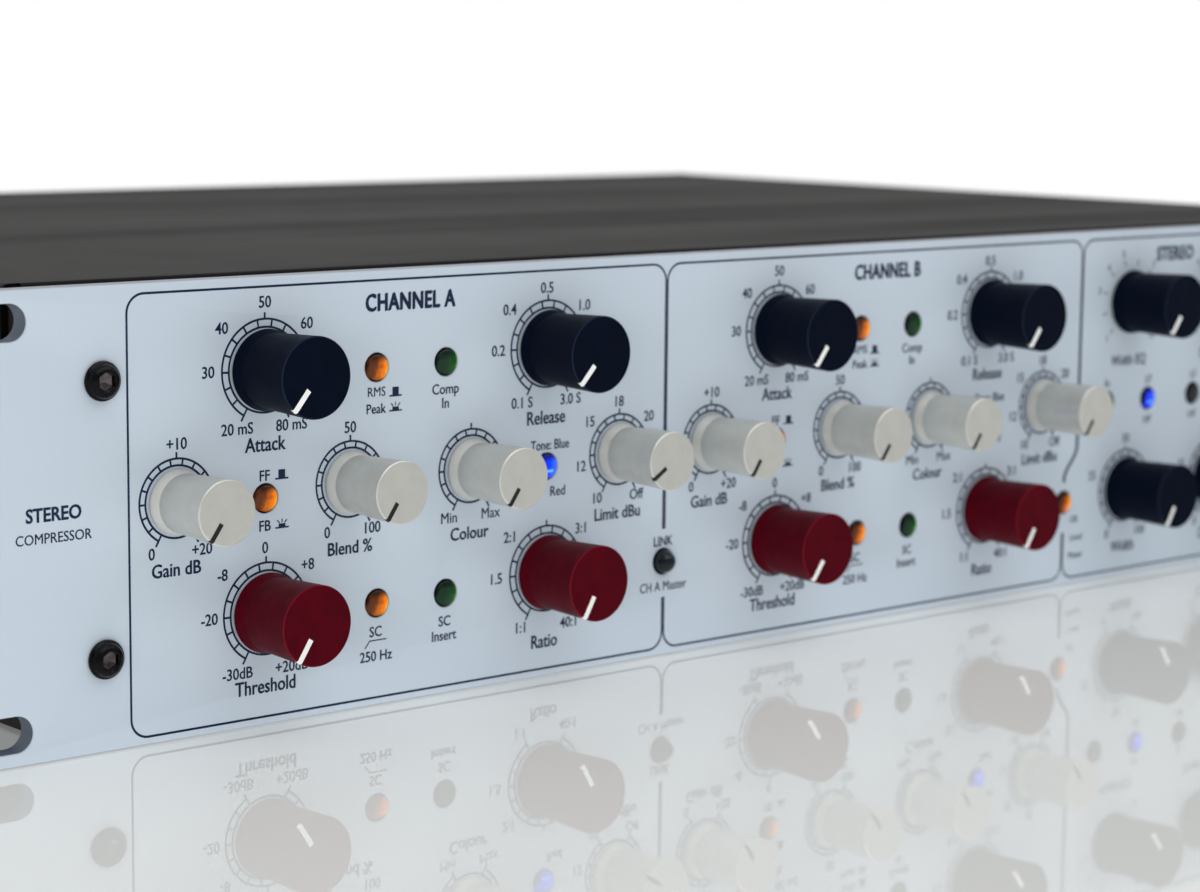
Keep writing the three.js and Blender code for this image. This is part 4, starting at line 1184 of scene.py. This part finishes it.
# ------------------------------------------------------------------ inside: boards and transformer
def pcb_material(name, axis, lo, hi, part, part2, split_at):
    """Green solder mask with traces between lo and hi along an axis; parts elsewhere, in two finishes by height."""
    s = Shade(name)
    p = s.coords()
    ax = s.split(p)["xyz".index(axis)]
    on = s.math("MULTIPLY", s.math("GREATER_THAN", ax, lo), s.math("LESS_THAN", ax, hi))
    v = s.node("ShaderNodeTexVoronoi", {"Vector": p, "Scale": 260.0}, feature="DISTANCE_TO_EDGE").outputs["Distance"]
    trace = s.range(v, 0.05, 0.02)
    mask = s.mix(s.math("MULTIPLY", trace, 0.7), lin(18, 66, 44), lin(52, 118, 78))
    mask = s.mix(s.range(s.noise(p, 30.0), 0.4, 0.7), mask, lin(14, 52, 36))
    far = s.math("GREATER_THAN", ax, split_at)
    grain = s.noise(p, 900.0)
    parts = s.mix(far, s.mix(grain, lin(*part), lin(*tuple(int(c * 0.8) for c in part))), s.mix(grain, lin(*part2), lin(*tuple(int(c * 0.8) for c in part2))))
    s.set(Base_Color=s.mix(on, parts, mask), Roughness=s.range(grain, 0.3, 0.7, 0.36, 0.5), Metallic=s.math("MULTIPLY", s.math("SUBTRACT", 1.0, on), 0.4), Normal=s.bump(s.math("ADD", trace, grain), 0.2, 0.00005))
    return s.mat


M["pcb"] = satin("pcb_mask", (20, 74, 50), (14, 52, 36), rough=0.4, grain=1500, patch=60, patch_amount=0.6)
build_jacks()
build_inlet()

Y = lambda y: FY + y * MM
Z = lambda z: FZ + z * MM
assign("control_board", pcb_material("control_board_mix", "y", Y(20.99), Y(22.61), (58, 60, 64), (26, 26, 28), Y(22.62)))
assign("main_board", pcb_material("main_board_mix", "z", Z(-33.01), Z(-31.39), (120, 122, 126), (34, 36, 44), Z(-31.38)))


def meter_material():
    s = Shade("meter_mix")
    p = s.coords()
    y = s.split(p)[1]
    lens = s.math("LESS_THAN", y, Y(9.9))
    n = s.noise(p, 1200.0)
    dark = s.mix(n, lin(20, 20, 23), lin(12, 12, 15))
    green = s.mix(s.noise(p, 60.0), lin(20, 74, 50), lin(14, 52, 36))
    s.set(Base_Color=s.mix(lens, green, dark), Roughness=s.math("SUBTRACT", 0.42, s.math("MULTIPLY", lens, 0.3)), Normal=s.bump(n, 0.08, 0.00004))
    return s.mat


assign("meter_module", meter_material())


def transformer_material():
    lo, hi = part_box("mains_transformer")
    cx, cy = (lo.x + hi.x) / 2, (lo.y + hi.y) / 2
    s = Shade("transformer_mix")
    p = s.coords()
    x, y, z = s.split(p)
    dx, dy = s.math("SUBTRACT", x, cx), s.math("SUBTRACT", y, cy)
    ang = s.math("ARCTAN2", dy, dx)
    wave = s.math("SINE", s.math("MULTIPLY", ang, 150.0))
    rad = s.vmath("LENGTH", s.join(dx, dy, 0.0))
    disc = s.math("MULTIPLY", s.math("LESS_THAN", rad, 0.0301), s.math("GREATER_THAN", z, hi.z - 0.0081))
    copper = s.mix(s.range(wave, -0.6, 0.8), lin(96, 52, 20), lin(196, 122, 52))
    copper = s.mix(s.range(s.noise(p, 40.0), 0.4, 0.7), copper, lin(150, 92, 40))
    s.set(Base_Color=s.mix(disc, copper, lin(60, 60, 62)), Roughness=s.range(s.noise(p, 300.0), 0.3, 0.7, 0.3, 0.5), Metallic=s.math("SUBTRACT", 0.85, s.math("MULTIPLY", disc, 0.3)), Normal=s.bump(wave, 0.5, 0.0003))
    return s.mat


assign("mains_transformer", transformer_material())


# ------------------------------------------------------------------ bar meters: segments behind the four windows
def build_segments():
    n, gap = 14, 0.55
    z0, z1 = METER_Z0 + 0.7, METER_Z1 - 0.7
    h = (z1 - z0 - gap * (n - 1)) / n
    groups = {"led_green": Build(), "led_amber": Build(), "led_off": Build(), "led_red_off": Build()}
    for k, x in enumerate(METER_X):
        level = (0, 8, 0, 7)[k]
        down = (2, 0, 3, 0)[k]
        for i in range(n):
            a = z0 + i * (h + gap)
            if level:
                key = "led_green" if i < level else ("led_red_off" if i >= n - 2 else "led_off")
            else:
                key = "led_amber" if i >= n - down else "led_off"
            plate(groups[key], rrect(x - 1.35, x + 1.35, a, a + h, 0.25, 3), [], 0.14, 0.34, 0.06, 0, 1)
    for key, mb in groups.items():
        piece("meter_" + key, mb, M[key], "root", "meter_lens", smooth=35)


build_segments()

# ------------------------------------------------------------------ floor, light, camera
def build_floor():
    me = bpy.data.meshes.new("floor")
    me.from_pydata([(-5, -3.5, -0.0004), (7, -3.5, -0.0004), (7, 8, -0.0004), (-5, 8, -0.0004)], [], [(0, 1, 2, 3)])
    ob = bpy.data.objects.new("floor", me)
    bpy.context.scene.collection.objects.link(ob)
    s = Shade("floor_gloss")
    p = s.coords()
    n = s.noise(p, 5.0, 4.0, 0.6)
    s.set(Base_Color=s.mix(n, lin(233, 233, 229), lin(237, 237, 233)), Roughness=s.range(s.noise(p, 3.0, 3.0), 0.2, 0.8, 0.008, 0.018, False))
    s.b.inputs["IOR"].default_value = 1.8
    # far from the unit the floor runs out into the white of the studio
    far = s.range(s.vmath("LENGTH", p), 0.45, 1.25)
    white = s.node("ShaderNodeEmission", {"Color": (1, 1, 1, 1), "Strength": 1.0})
    # the sweep in front is lit from beyond the picture, so it sends more light up at the unit than the camera sees
    path = s.node("ShaderNodeLightPath")
    lift = s.node("ShaderNodeEmission", {"Color": (0.96, 0.99, 1.0, 1)})
    s.t.links.new(s.math("ADD", s.math("MULTIPLY", path.outputs["Is Diffuse Ray"], 0.58), s.math("MULTIPLY", path.outputs["Is Camera Ray"], 0.12)), lift.inputs["Strength"])
    both = s.node("ShaderNodeAddShader")
    s.t.links.new(s.b.outputs["BSDF"], both.inputs[0])
    s.t.links.new(lift.outputs[0], both.inputs[1])
    blend = s.node("ShaderNodeMixShader")
    s.t.links.new(far, blend.inputs[0])
    s.t.links.new(both.outputs[0], blend.inputs[1])
    s.t.links.new(white.outputs[0], blend.inputs[2])
    s.t.links.new(blend.outputs[0], s.out.inputs["Surface"])
    me.materials.append(s.mat)


build_floor()


def area(name, loc, target, size, size_y, power, colour=(1, 1, 1)):
    li = bpy.data.lights.new(name, "AREA")
    li.shape = "RECTANGLE"
    li.size, li.size_y, li.energy, li.color = size, size_y, power, colour
    ob = bpy.data.objects.new(name, li)
    ob.visible_camera = False
    ob.visible_glossy = name != "fill_left"     # its outline would show in the floor from behind
    ob.location = loc
    ob.rotation_euler = (Vector(target) - Vector(loc)).to_track_quat("-Z", "Y").to_euler()
    bpy.context.scene.collection.objects.link(ob)
    return ob


area("key_above", (0.15, -1.15, 1.35), (0.0, -0.2, 0.0), 2.4, 0.9, 9.0, (1.0, 0.995, 0.985))
area("fill_left", (-1.25, -1.05, 0.22), (0.0, -0.15, 0.02), 0.9, 0.34, 4.6, (1.0, 0.985, 0.96))

world = bpy.data.worlds.new("studio")
bpy.context.scene.world = world
world.use_nodes = True
wt = world.node_tree
wt.nodes.clear()
w_out = wt.nodes.new("ShaderNodeOutputWorld")
w_mix = wt.nodes.new("ShaderNodeMixShader")
w_path = wt.nodes.new("ShaderNodeLightPath")
w_cam = wt.nodes.new("ShaderNodeBackground")
w_cam.inputs["Color"].default_value = (1, 1, 1, 1)
w_cam.inputs["Strength"].default_value = 1.0
w_env = wt.nodes.new("ShaderNodeBackground")
w_co = wt.nodes.new("ShaderNodeTexCoord")
w_dot = wt.nodes.new("ShaderNodeVectorMath")
w_dot.operation = "DOT_PRODUCT"
w_dot.inputs[1].default_value = Vector((0.30, 0.62, 0.72)).normalized()
w_map = wt.nodes.new("ShaderNodeMapRange")
w_map.interpolation_type = "SMOOTHSTEP"
for k, v in (("From Min", -0.45), ("From Max", 0.75), ("To Min", 0.15), ("To Max", 0.66)):
    w_map.inputs[k].default_value = v
wt.links.new(w_co.outputs["Generated"], w_dot.inputs[0])
wt.links.new(w_dot.outputs["Value"], w_map.inputs["Value"])
wt.links.new(w_map.outputs["Result"], w_env.inputs["Strength"])
w_env.inputs["Color"].default_value = (0.97, 0.985, 1.0, 1)
wt.links.new(w_path.outputs["Is Camera Ray"], w_mix.inputs[0])
wt.links.new(w_env.outputs[0], w_mix.inputs[1])
wt.links.new(w_cam.outputs[0], w_mix.inputs[2])
wt.links.new(w_mix.outputs[0], w_out.inputs["Surface"])

cam_data = bpy.data.cameras.new("camera")
cam_data.sensor_width = 36.0
cam_data.lens = 85.99
cam_data.clip_start, cam_data.clip_end = 0.01, 100.0
cam = bpy.data.objects.new("camera", cam_data)
right, up, forward = Vector((0.75614, -0.65433, 0.01030)), Vector((0.08283, 0.11131, 0.99033)), Vector((0.64915, 0.74797, -0.13836))
rot = Matrix((right, up, -forward)).transposed()
cam.matrix_world = Matrix.Translation(Vector((-0.4877, -0.6093, 0.13285))) @ rot.to_4x4()
bpy.context.scene.collection.objects.link(cam)
bpy.context.scene.camera = cam
focus = bpy.data.objects.new("focus", None)
focus.location = W(-180.0, -12.0, 0.0)
bpy.context.scene.collection.objects.link(focus)
cam_data.dof.use_dof = True
cam_data.dof.focus_object = focus
cam_data.dof.aperture_fstop = 20.0

view = bpy.context.scene.view_settings
view.view_transform = "Standard"
view.look = "None"
view.exposure = 0.0
view.gamma = 1.0
